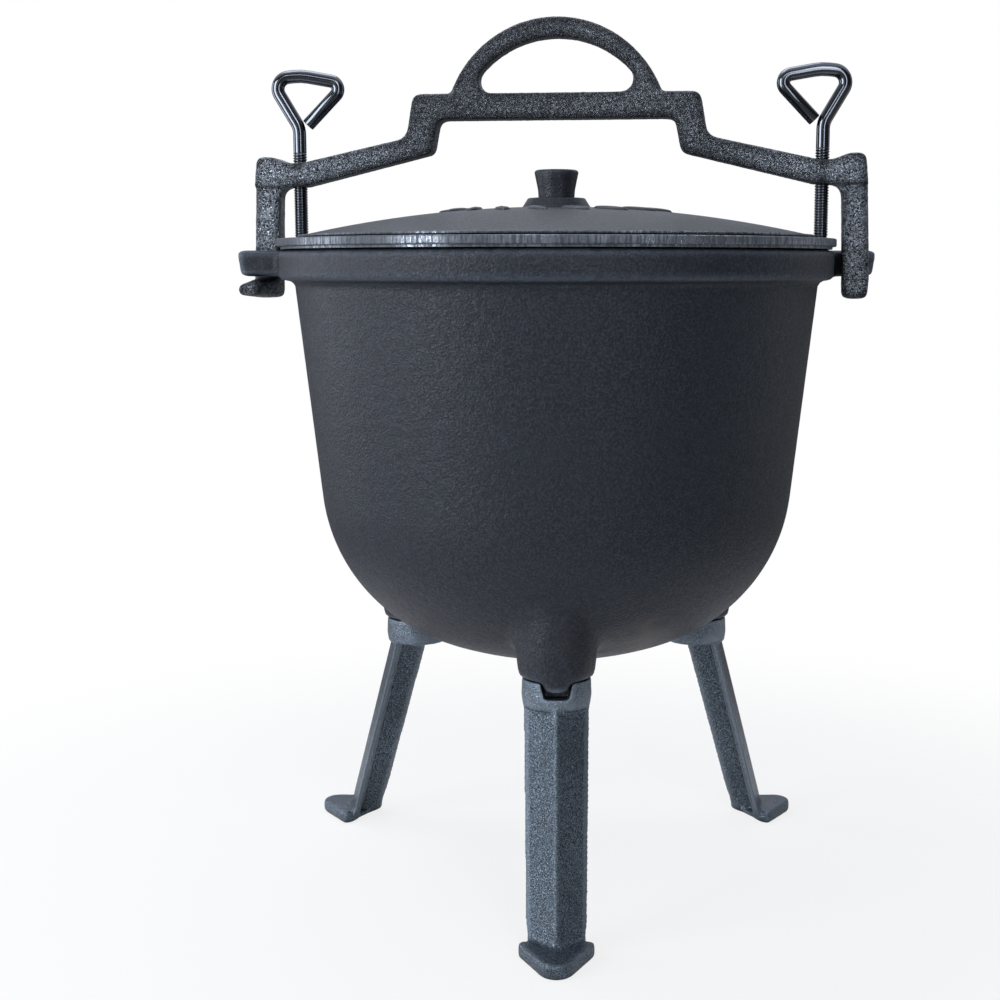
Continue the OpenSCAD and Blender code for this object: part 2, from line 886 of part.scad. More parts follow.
module yoke() {
    color(rough_iron)
        rotate([0, 0, -yoke_rest_turn])
            difference() {
                union() {
                    beam();
                    arch();
                    yoke_end();
                    rotate([0, 0, 180])
                        yoke_end();
                }
                screw_hole();
                rotate([0, 0, 180])
                    screw_hole();
            }
}

// Clamp screws

module rod(a, b) {
    lap = bend_lap * unit(b - a);
    translate([a.x - lap.x, 0, a.y - lap.y])
        rotate([0, 90 - angle_of(b - a), 0])
            cylinder(d = rod_d, h = norm(b - a) + 2 * bend_lap, $fn = small_fn);
}

module rod_bend(a, b, c, r) {
    centre = corner_centre(a, b, c, r);
    start = corner_start(a, b, c, r) - centre;
    end = corner_start(c, b, a, r) - centre;
    from = cross(start, end) > 0 ? start : end;
    translate([centre.x, 0, centre.y])
        rotate([90, 0, 0])
            rotate([0, 0, angle_of(from)])
                rotate_extrude(angle = 180 - 2 * half_angle(a, b, c), $fn = round_fn)
                    translate([r, 0])
                        circle(d = rod_d + bend_swell, $fn = small_fn);
}

module bent_rod(path) {
    last = len(path) - 1;
    starts = [for (i = [0:last])
        path[i][2] > 0
            ? corner_start(flat(path[i + 1]), flat(path[i]), flat(path[i - 1]), path[i][2])
            : flat(path[i])];
    ends = [for (i = [0:last])
        path[i][2] > 0
            ? corner_start(flat(path[i - 1]), flat(path[i]), flat(path[i + 1]), path[i][2])
            : flat(path[i])];
    for (i = [0:last - 1])
        rod(starts[i], ends[i + 1]);
    for (i = [1:last - 1])
        rod_bend(flat(path[i - 1]), flat(path[i]), flat(path[i + 1]), path[i][2]);
}

module clamp_screw() {
    color(black_steel) {
        translate([0, 0, tip_z])
            cylinder(d1 = screw_d - 2 * tip_taper, d2 = screw_d, h = tip_taper, $fn = small_fn);
        translate([0, 0, tip_z + tip_taper])
            cylinder(d = screw_d, h = thread_l - tip_taper, $fn = small_fn);
        bent_rod(eye_path);
    }
}

module left_clamp_screw() {
    translate([-screw_u * cos(yoke_rest_turn), screw_u * sin(yoke_rest_turn), 0])
        clamp_screw();
}

module right_clamp_screw() {
    translate([screw_u * cos(yoke_rest_turn), -screw_u * sin(yoke_rest_turn), 0])
        rotate([0, 0, 180])
            clamp_screw();
}

pot();
lid();
lid_knob();
lid_knob_screw();
lid_knob_washer();
yoke();
left_clamp_screw();
right_clamp_screw();
front_leg();
rear_left_leg();
rear_right_leg();
front_leg_bolt();
rear_left_leg_bolt();
rear_right_leg_bolt();
front_leg_washer();
rear_left_leg_washer();
rear_right_leg_washer();
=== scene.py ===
"""Looks of the cast iron cauldron: its detailed pieces, their finishes, the light and the camera."""

import logging
import math
from dataclasses import dataclass, field
from enum import Enum
from typing import Iterable, Sequence

import bmesh
import bpy
import numpy as np
from mathutils import Matrix, Vector


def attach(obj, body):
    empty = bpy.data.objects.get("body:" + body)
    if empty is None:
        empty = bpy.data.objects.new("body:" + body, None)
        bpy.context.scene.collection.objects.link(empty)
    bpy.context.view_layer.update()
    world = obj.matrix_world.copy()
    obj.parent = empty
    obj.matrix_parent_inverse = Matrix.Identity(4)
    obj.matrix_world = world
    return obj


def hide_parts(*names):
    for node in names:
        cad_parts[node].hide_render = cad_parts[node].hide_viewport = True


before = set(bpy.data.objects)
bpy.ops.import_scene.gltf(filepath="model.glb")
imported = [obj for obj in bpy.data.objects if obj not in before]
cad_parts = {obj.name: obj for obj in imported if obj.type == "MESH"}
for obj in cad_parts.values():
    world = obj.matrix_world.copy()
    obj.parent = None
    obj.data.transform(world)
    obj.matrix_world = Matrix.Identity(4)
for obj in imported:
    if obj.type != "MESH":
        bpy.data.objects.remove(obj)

log = logging.getLogger("cauldron")

MM = 0.001
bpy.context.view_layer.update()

Colour = tuple[float, float, float, float]
Point = tuple[float, float]
Corner = tuple[float, float, float]


# Colours and shader nodes


def linear(hex_code: str) -> Colour:
    """Turns an sRGB hex colour into a linear one.

    Args:
        hex_code: the colour, such as "#2A2D31".

    Returns:
        Red, green, blue and alpha, linear.
    """
    parts = [int(hex_code[i:i + 2], 16) / 255 for i in (1, 3, 5)]
    low = [c / 12.92 if c <= 0.04045 else ((c + 0.055) / 1.055) ** 2.4 for c in parts]
    return (low[0], low[1], low[2], 1.0)


def add_node(tree: bpy.types.NodeTree, kind: str, sockets: dict | None = None, **settings) -> bpy.types.Node:
    """Adds a shader node with its settings, socket values and links.

    Args:
        tree: the node tree.
        kind: the node's Blender type.
        sockets: input name or index to a value, or to the output socket that feeds it.
        **settings: the node's own properties.

    Returns:
        The node.
    """
    made = tree.nodes.new(kind)
    for name, value in settings.items():
        setattr(made, name, value)
    for name, value in (sockets or {}).items():
        if isinstance(value, bpy.types.NodeSocket):
            tree.links.new(value, made.inputs[name])
        else:
            made.inputs[name].default_value = value
    return made


def new_material(name: str) -> tuple[bpy.types.Material, bpy.types.NodeTree]:
    """Makes an empty node material.

    Args:
        name: the material's name.

    Returns:
        The material and its node tree.
    """
    material = bpy.data.materials.new(name)
    material.use_nodes = True
    material.node_tree.nodes.clear()
    return material, material.node_tree


def per_metre(millimetres: float) -> float:
    """Texture scale that gives features of that size in millimetres."""
    return 1.0 / (millimetres * MM)


# Finishes


@dataclass(frozen=True)
class CastIron:
    """Grey iron from a sand mould, blackened and oiled.

    To the eye it is a near-black blue-grey with a soft sheen. The sand leaves a grain whose tips catch
    the light as bright specks, the skin waves faintly, and the oil leaves cloudy patches.

    Attributes:
        name: the material's name.
        dark: colour in the grain's valleys.
        pale: colour on the grain's tips.
        cloud: colour of the cloudy patches.
        grain_mm: width of a grain.
        grain_depth_mm: height of the grain.
        skin_mm: width of the larger waves in the skin.
        skin_depth_mm: height of those waves.
        roughness: roughness of the valleys and of the flat skin.
        tip_roughness: roughness of the tips, where wear has smoothed them.
        tip_metal: how far wear has bared the tips to iron.
        sheen: specular level of the oiled skin.
        stain: colour of the smoke-browned lower part, or None.
        stain_top_mm: height where the browning ends.
        ground_from_mm: distance from the axis where a ground, bare edge begins, or 0 for none.
        handled_mm: half width of the middle that hands have darkened, or 0 for none.
        edge: colour of the outer edges, partly wear and partly painted highlight when pale, painted shade when dark.
        edge_share: how far the outer edges take that colour.
        edge_mm: distance from an edge at which its colour ends.
        scuff: place of a scuffed brownish patch in millimetres and its radius, or None.
        tip_low: height in the grain, from 0 to 1, where the pale tips begin.
        tip_high: height in the grain where they are palest.
        warp: how far the grain is drawn out into wrinkles.
        rubbed_and_sheen_from_mm: height above which turning and knocks have bared the skin, which also carries a
            painted sheen, or 0 for none.
    """

    name: str
    dark: str
    pale: str
    cloud: str
    grain_mm: float
    grain_depth_mm: float
    skin_mm: float
    skin_depth_mm: float
    roughness: float
    tip_roughness: float
    tip_metal: float
    sheen: float
    stain: str | None = None
    stain_top_mm: float = 0.0
    ground_from_mm: float = 0.0
    handled_mm: float = 0.0
    edge: str = "#59616B"
    edge_share: float = 0.4
    edge_mm: float = 3.0
    scuff: tuple[float, float, float, float] | None = None
    tip_low: float = 0.42
    tip_high: float = 0.66
    warp: float = 0.6
    rubbed_and_sheen_from_mm: float = 0.0

    def material(self) -> bpy.types.Material:
        """Builds the finish's material."""
        material, tree = new_material(self.name)
        place = add_node(tree, "ShaderNodeTexCoord").outputs["Object"]
        grain = add_node(tree, "ShaderNodeTexNoise", {
            "Vector": place, "Scale": per_metre(self.grain_mm), "Detail": 1.0, "Distortion": self.warp})
        skin = add_node(tree, "ShaderNodeTexNoise", {
            "Vector": place, "Scale": per_metre(self.skin_mm), "Detail": 2.0})
        clouds = add_node(tree, "ShaderNodeTexNoise", {
            "Vector": place, "Scale": per_metre(60), "Detail": 6.0, "Roughness": 0.65})
        tips = add_node(tree, "ShaderNodeMapRange", {
            "Value": grain.outputs["Fac"], "From Min": self.tip_low, "From Max": self.tip_high}).outputs["Result"]
        base = add_node(tree, "ShaderNodeMix", {
            "Factor": tips, 6: linear(self.dark), 7: linear(self.pale)}, data_type="RGBA")
        cloud_share = add_node(tree, "ShaderNodeMapRange", {
            "Value": clouds.outputs["Fac"], "From Min": 0.42, "From Max": 0.66, "To Max": 0.4})
        colour = add_node(tree, "ShaderNodeMix", {
            "Factor": cloud_share.outputs["Result"], 6: base.outputs[2], 7: linear(self.cloud)},
            data_type="RGBA").outputs[2]
        if self.stain:
            colour = self.browned(tree, place, clouds.outputs["Fac"], colour)
        if self.handled_mm:
            colour = self.handled(tree, place, colour)
        if self.scuff:
            colour = self.scuffed(tree, place, clouds.outputs["Fac"], colour)
        if self.rubbed_and_sheen_from_mm:
            colour = self.rubbed_and_painted_sheen(tree, place, clouds.outputs["Fac"], colour)
        colour = self.edge_wear_and_painted_light(tree, colour)
        gloss = add_node(tree, "ShaderNodeMapRange", {
            "Value": tips, "To Min": self.roughness, "To Max": self.tip_roughness}).outputs["Result"]
        metal = add_node(tree, "ShaderNodeMapRange", {
            "Value": tips, "To Min": self.tip_metal * 0.4, "To Max": self.tip_metal}).outputs["Result"]
        if self.ground_from_mm:
            colour, gloss, metal = self.ground(tree, place, colour, gloss, metal)
        waves = add_node(tree, "ShaderNodeBump", {
            "Height": skin.outputs["Fac"], "Distance": self.skin_depth_mm * MM, "Strength": 1.0})
        bump = add_node(tree, "ShaderNodeBump", {
            "Height": grain.outputs["Fac"], "Distance": self.grain_depth_mm * MM, "Strength": 1.0,
            "Normal": waves.outputs["Normal"]})
        shader = add_node(tree, "ShaderNodeBsdfPrincipled", {
            "Base Color": colour, "Roughness": gloss, "Normal": bump.outputs["Normal"],
            "Metallic": metal, "IOR": 1.5, "Specular IOR Level": self.sheen})
        add_node(tree, "ShaderNodeOutputMaterial", {"Surface": shader.outputs["BSDF"]})
        return material

    def browned(self, tree: bpy.types.NodeTree, place: bpy.types.NodeSocket,
                clouds: bpy.types.NodeSocket, colour: bpy.types.NodeSocket) -> bpy.types.NodeSocket:
        """Mixes the smoke's brown into the lower part.

        Args:
            tree: the material's node tree.
            place: the object coordinates.
            clouds: the cloudy noise.
            colour: the colour so far.

        Returns:
            The new colour.
        """
        height = add_node(tree, "ShaderNodeSeparateXYZ", {"Vector": place}).outputs["Z"]
        low = add_node(tree, "ShaderNodeMapRange", {
            "Value": height, "From Min": (self.stain_top_mm - 45) * MM, "From Max": self.stain_top_mm * MM,
            "To Min": 1.0, "To Max": 0.0})
        patch = add_node(tree, "ShaderNodeMapRange", {
            "Value": clouds, "From Min": 0.35, "From Max": 0.62, "To Max": 0.6})
        share = add_node(tree, "ShaderNodeMath", {
            0: low.outputs["Result"], 1: patch.outputs["Result"]}, operation="MULTIPLY")
        return add_node(tree, "ShaderNodeMix", {
            "Factor": share.outputs["Value"], 6: colour, 7: linear(self.stain)},
            data_type="RGBA").outputs[2]


    def edge_wear_and_painted_light(self, tree: bpy.types.NodeTree, colour: bpy.types.NodeSocket) -> bpy.types.NodeSocket:
        """Gives the outer edges a colour that is partly wear and partly painted highlight when pale, painted shade
        when dark, and paints shade into creases.

        Args:
            tree: the material's node tree.
            colour: the colour so far.

        Returns:
            The new colour.
        """
        # Painted highlight and shade on the outer edges: a pale edge colour is partly wear and partly highlight, a
        # dark one is shade.
        within = add_node(tree, "ShaderNodeAmbientOcclusion", {"Distance": self.edge_mm * MM},
                          samples=6, inside=True, only_local=True)
        edge = add_node(tree, "ShaderNodeMapRange", {
            "Value": within.outputs["AO"], "From Min": 0.65, "From Max": 0.95,
            "To Min": self.edge_share, "To Max": 0.0})
        # Painted shade: creases, notches and recesses, where shade falls, turn near-black.
        shut = add_node(tree, "ShaderNodeAmbientOcclusion", {"Distance": 7 * MM}, samples=6)
        painted_crease_shade = add_node(tree, "ShaderNodeMapRange", {
            "Value": shut.outputs["AO"], "From Min": 0.30, "From Max": 0.80, "To Min": 0.95, "To Max": 0.0})
        lit = add_node(tree, "ShaderNodeMix", {
            "Factor": edge.outputs["Result"], 6: colour, 7: linear(self.edge)}, data_type="RGBA").outputs[2]
        return add_node(tree, "ShaderNodeMix", {
            "Factor": painted_crease_shade.outputs["Result"], 6: lit, 7: linear("#07080A")}, data_type="RGBA").outputs[2]

    def scuffed(self, tree: bpy.types.NodeTree, place: bpy.types.NodeSocket,
                clouds: bpy.types.NodeSocket, colour: bpy.types.NodeSocket) -> bpy.types.NodeSocket:
        """Adds the scuffed brownish patch.

        Args:
            tree: the material's node tree.
            place: the object coordinates.
            clouds: the cloudy noise.
            colour: the colour so far.

        Returns:
            The new colour.
        """
        spot = tuple(value * MM for value in self.scuff[:3])
        away = add_node(tree, "ShaderNodeVectorMath", {0: place, 1: spot}, operation="DISTANCE")
        near = add_node(tree, "ShaderNodeMapRange", {
            "Value": away.outputs["Value"], "From Min": self.scuff[3] * MM, "From Max": 0.0})
        patch = add_node(tree, "ShaderNodeMapRange", {
            "Value": clouds, "From Min": 0.36, "From Max": 0.54, "To Max": 1.4})
        share = add_node(tree, "ShaderNodeMath", {
            0: near.outputs["Result"], 1: patch.outputs["Result"]}, operation="MULTIPLY", use_clamp=True)
        return add_node(tree, "ShaderNodeMix", {
            "Factor": share.outputs["Value"], 6: colour, 7: linear("#625B57")}, data_type="RGBA").outputs[2]

    def rubbed_and_painted_sheen(self, tree: bpy.types.NodeTree, place: bpy.types.NodeSocket,
               clouds: bpy.types.NodeSocket, colour: bpy.types.NodeSocket) -> bpy.types.NodeSocket:
        """Paints the top of a leg pale: partly iron bared where it rubs on the pot, partly a painted sheen.

        Args:
            tree: the material's node tree.
            place: the object coordinates.
            clouds: the cloudy noise.
            colour: the colour so far.

        Returns:
            The new colour.
        """
        height = add_node(tree, "ShaderNodeSeparateXYZ", {"Vector": place}).outputs["Z"]
        high = add_node(tree, "ShaderNodeMapRange", {
            "Value": height, "From Min": (self.rubbed_and_sheen_from_mm - 3) * MM, "From Max": self.rubbed_and_sheen_from_mm * MM})
        patch = add_node(tree, "ShaderNodeMapRange", {
            "Value": clouds, "From Min": 0.40, "From Max": 0.60, "To Min": 0.15, "To Max": 0.6})
        share = add_node(tree, "ShaderNodeMath", {
            0: high.outputs["Result"], 1: patch.outputs["Result"]}, operation="MULTIPLY")
        # Pale patches on the leg's top: partly bare iron where it rubs, partly a painted sheen.
        return add_node(tree, "ShaderNodeMix", {
            "Factor": share.outputs["Value"], 6: colour, 7: linear("#9AA5B0")}, data_type="RGBA").outputs[2]

    def handled(self, tree: bpy.types.NodeTree, place: bpy.types.NodeSocket,
                colour: bpy.types.NodeSocket) -> bpy.types.NodeSocket:
        """Darkens the middle, where hands hold it.

        Args:
            tree: the material's node tree.
            place: the object coordinates.
            colour: the colour so far.

        Returns:
            The new colour.
        """
        aside = add_node(tree, "ShaderNodeMath", {
            0: add_node(tree, "ShaderNodeSeparateXYZ", {"Vector": place}).outputs["X"]}, operation="ABSOLUTE")
        share = add_node(tree, "ShaderNodeMapRange", {
            "Value": aside.outputs["Value"], "From Min": self.handled_mm * 0.8 * MM,
            "From Max": self.handled_mm * 1.3 * MM, "To Min": 0.55, "To Max": 0.0},
            interpolation_type="SMOOTHSTEP")
        return add_node(tree, "ShaderNodeMix", {
            "Factor": share.outputs["Result"], 6: colour, 7: linear(self.dark)}, data_type="RGBA").outputs[2]

    def ground(self, tree: bpy.types.NodeTree, place: bpy.types.NodeSocket, colour: bpy.types.NodeSocket,
               gloss: bpy.types.NodeSocket, metal: bpy.types.NodeSocket) -> list[bpy.types.NodeSocket]:
        """Makes the outer edge ground iron with short upright grinding marks.

        Args:
            tree: the material's node tree.
            place: the object coordinates.
            colour: the colour so far.
            gloss: the roughness so far.
            metal: the metallic share so far.

        Returns:
            The new colour, roughness and metallic share.
        """
        flat = add_node(tree, "ShaderNodeVectorMath", {0: place, 1: (1.0, 1.0, 0.0)}, operation="MULTIPLY")
        reach = add_node(tree, "ShaderNodeVectorMath", {0: flat.outputs["Vector"]}, operation="LENGTH")
        edge = add_node(tree, "ShaderNodeMapRange", {
            "Value": reach.outputs["Value"], "From Min": (self.ground_from_mm - 0.4) * MM,
            "From Max": (self.ground_from_mm + 0.4) * MM}).outputs["Result"]
        upright = add_node(tree, "ShaderNodeVectorMath", {0: place, 1: (1.0, 1.0, 0.12)}, operation="MULTIPLY")
        marks = add_node(tree, "ShaderNodeTexNoise", {
            "Vector": upright.outputs["Vector"], "Scale": per_metre(1.4), "Detail": 3.0}).outputs["Fac"]
        bare = add_node(tree, "ShaderNodeMapRange", {
            "Value": marks, "From Min": 0.42, "From Max": 0.60, "To Min": 0.15, "To Max": 1.0})
        arcs = add_node(tree, "ShaderNodeTexNoise", {
            "Vector": flat.outputs["Vector"], "Scale": per_metre(55), "Detail": 1.0}).outputs["Fac"]
        oiled = add_node(tree, "ShaderNodeMapRange", {
            "Value": arcs, "From Min": 0.40, "From Max": 0.56, "To Min": 0.25, "To Max": 1.0})
        shown = add_node(tree, "ShaderNodeMath", {0: edge, 1: bare.outputs["Result"]}, operation="MULTIPLY")
        share = add_node(tree, "ShaderNodeMath", {
            0: shown.outputs["Value"], 1: oiled.outputs["Result"]}, operation="MULTIPLY")
        return [
            add_node(tree, "ShaderNodeMix", {
                "Factor": share.outputs["Value"], 6: colour, 7: linear("#8C929A")}, data_type="RGBA").outputs[2],
            add_node(tree, "ShaderNodeMix", {"Factor": share.outputs["Value"], 2: gloss, 3: 0.24}).outputs[0],
            add_node(tree, "ShaderNodeMix", {"Factor": share.outputs["Value"], 2: metal, 3: 0.9}).outputs[0],
        ]


@dataclass(frozen=True)
class PolishedSteel:
    """Drawn steel rod, either blackened or zinc-plated.

    To the eye it is smooth and glossy, with narrow bright lines along the rod and faint drawing marks.

    Attributes:
        name: the material's name.
        colour: its colour.
        metallic: 1 for bare plating, less for a black oxide with oil on it.
        roughness: mean roughness.
        smear_mm: width of the faint smears.
    """

    name: str
    colour: str
    metallic: float
    roughness: float
    smear_mm: float

    def material(self) -> bpy.types.Material:
        """Builds the finish's material."""
        material, tree = new_material(self.name)
        place = add_node(tree, "ShaderNodeTexCoord").outputs["Object"]
        smear = add_node(tree, "ShaderNodeTexNoise", {
            "Vector": place, "Scale": per_metre(self.smear_mm), "Detail": 4.0})
        gloss = add_node(tree, "ShaderNodeMapRange", {
            "Value": smear.outputs["Fac"], "From Min": 0.35, "From Max": 0.65,
            "To Min": self.roughness * 0.75, "To Max": self.roughness * 1.35})
        shader = add_node(tree, "ShaderNodeBsdfPrincipled", {
            "Base Color": linear(self.colour), "Metallic": self.metallic,
            "Roughness": gloss.outputs["Result"]})
        add_node(tree, "ShaderNodeOutputMaterial", {"Surface": shader.outputs["BSDF"]})
        return material


# The pot is blasted finely, so its grain is small and it looks like matt slate.
# Its pale edges are partly wear and partly a painted highlight, and shade is painted into its creases.
POT_IRON = CastIron("pot_cast_iron_oiled", "#15181E", "#292E37", "#20242B", 1.1, 0.42, 5.0, 0.45,
                    0.50, 0.40, 0.0, 0.34, "#2A2226", 195, edge="#6E7782", edge_share=0.8,
                    edge_mm=3.5, scuff=(44.0, -92.0, 130.0, 42.0))
# The lid is the same iron, oiled more often, and its edge is ground to fit the rim.
# Its faintly pale edges are partly wear and partly a painted highlight, and shade is painted into its creases.
LID_IRON = CastIron("lid_cast_iron_oiled", "#15181E", "#242931", "#1F2329", 1.1, 0.28, 5.0, 0.30,
                    0.46, 0.38, 0.0, 0.45, ground_from_mm=143.9, edge_share=0.2)
# The yoke is left as it comes from coarse sand, so it looks hammered and glints.
# Its dark edges are painted shade, and shade is painted into its creases.
YOKE_IRON = CastIron("yoke_rough_cast_iron", "#0A0C0F", "#B2B9C1", "#24282D", 0.95, 0.9, 5.0, 0.7,
                     0.42, 0.26, 0.85, 0.5, handled_mm=95, edge="#090A0C", edge_share=0.9,
                     edge_mm=5.0, tip_low=0.43, tip_high=0.57,
                     warp=1.5)
# The legs come from finer sand and are dipped in black, so their grain is small and silvery.
# Its pale edges are partly wear and partly a painted highlight, its pale tops partly a painted sheen, and shade is
# painted into its creases.
LEG_IRON = CastIron("leg_rough_cast_iron", "#10171D", "#7C8A96", "#1E2830", 0.62, 0.40, 5.0, 0.30,
                    0.36, 0.24, 0.75, 0.5, edge="#7D8994", rubbed_and_sheen_from_mm=123)
# Black oxide and oil on the screws: a dark mirror with bright lines.
SCREW_STEEL = PolishedSteel("blackened_steel_rod", "#64676C", 1.0, 0.13, 8.0)
# Zinc on the leg bolts and on what holds the knob: pale grey, soft shine.
ZINC_STEEL = PolishedSteel("zinc_plated_steel", "#8E9297", 1.0, 0.36, 6.0)


# Mesh helpers


def rounded(path: Sequence[Corner], step: float = 12.0) -> list[Point]:
    """Outline through a path whose corners are rounded.

    Args:
        path: points as (x, y, radius of the corner).
        step: degrees between the points of a corner.

    Returns:
        The outline's points.
    """
    count = len(path)
    points: list[Point] = []
    for i, (x, y, radius) in enumerate(path):
        before, here, after = (Vector(path[(i + k) % count][:2]) for k in (-1, 0, 1))
        if radius <= 0:
            points.append((x, y))
            continue
        to_before, to_after = (before - here).normalized(), (after - here).normalized()
        half = math.acos(max(-1.0, min(1.0, to_before.dot(to_after)))) / 2
        centre = here + (to_before + to_after).normalized() * radius / math.sin(half)
        start = here + to_before * radius / math.tan(half) - centre
        sweep = math.pi - 2 * half
        side = 1 if (here - before).cross(after - here) > 0 else -1
        steps = max(1, math.ceil(math.degrees(sweep) / step))
        for k in range(steps + 1):
            angle = side * sweep * k / steps
            c, s = math.cos(angle), math.sin(angle)
            points.append((centre.x + start.x * c - start.y * s, centre.y + start.x * s + start.y * c))
    return points


def mesh_piece(name: str, verts: np.ndarray | list, faces: list[tuple[int, ...]],
               smooth_degrees: float = 40.0) -> bpy.types.Object:
    """Makes a mesh object from points in millimetres.

    Args:
        name: the piece's name.
        verts: its points, in millimetres.
        faces: its faces.
        smooth_degrees: edges flatter than this are shaded smooth.

    Returns:
        The object, linked to the scene.
    """
    mesh = bpy.data.meshes.new(name)
    mesh.from_pydata([(x * MM, y * MM, z * MM) for x, y, z in verts], [], faces)
    mesh.validate()
    worked = bmesh.new()
    worked.from_mesh(mesh)
    bmesh.ops.recalc_face_normals(worked, faces=worked.faces)
    worked.to_mesh(mesh)
    worked.free()
    piece = bpy.data.objects.new(name, mesh)
    bpy.context.scene.collection.objects.link(piece)
    shade(piece, smooth_degrees)
    return piece


def shade(piece: bpy.types.Object, smooth_degrees: float) -> None:
    """Shades a piece smooth, apart from edges sharper than the angle."""
    mesh = piece.data
    mesh.polygons.foreach_set("use_smooth", [True] * len(mesh.polygons))
    worked = bmesh.new()
    worked.from_mesh(mesh)
    limit = math.radians(smooth_degrees)
    for edge in worked.edges:
        edge.smooth = len(edge.link_faces) != 2 or edge.calc_face_angle(0.0) < limit
    worked.to_mesh(mesh)
    worked.free()


def turned(name: str, profile: Sequence[Point], segments: int, smooth_degrees: float = 30.0) -> bpy.types.Object:
    """Turns a closed outline of (radius, height) round the Z axis.

    Args:
        name: the piece's name.
        profile: closed outline in millimetres; points at radius 0 become poles.
        segments: number of steps round the axis.
        smooth_degrees: edges flatter than this are shaded smooth.

    Returns:
        The piece.
    """
    verts: list[tuple[float, float, float]] = []
    rings: list[list[int]] = []
    for r, z in profile:
        if r <= 1e-6:
            verts.append((0.0, 0.0, z))
            rings.append([len(verts) - 1] * segments)
            continue
        start = len(verts)
        for k in range(segments):
            angle = 2 * math.pi * k / segments
            verts.append((r * math.cos(angle), r * math.sin(angle), z))
        rings.append(list(range(start, start + segments)))
    faces: list[tuple[int, ...]] = []
    for a, b in zip(rings, rings[1:] + rings[:1]):
        for k in range(segments):
            corners = [a[k], a[(k + 1) % segments], b[(k + 1) % segments], b[k]]
            face = tuple(dict.fromkeys(corners))
            if len(face) > 2:
                faces.append(face)
    return mesh_piece(name, verts, faces, smooth_degrees)


def join(name: str, pieces: Iterable[bpy.types.Object]) -> bpy.types.Object:
    """Joins pieces into one object with that name."""
    pieces = list(pieces)
    whole = bmesh.new()
    for piece in pieces:
        whole.from_mesh(piece.data)
    mesh = bpy.data.meshes.new(name)
    whole.to_mesh(mesh)
    whole.free()
    for piece in pieces:
        bpy.data.objects.remove(piece)
    made = bpy.data.objects.new(name, mesh)
    bpy.context.scene.collection.objects.link(made)
    return made


def dress(piece: bpy.types.Object, material: bpy.types.Material) -> None:
    """Gives a piece one material."""
    piece.data.materials.clear()
    piece.data.materials.append(material)


# Castings


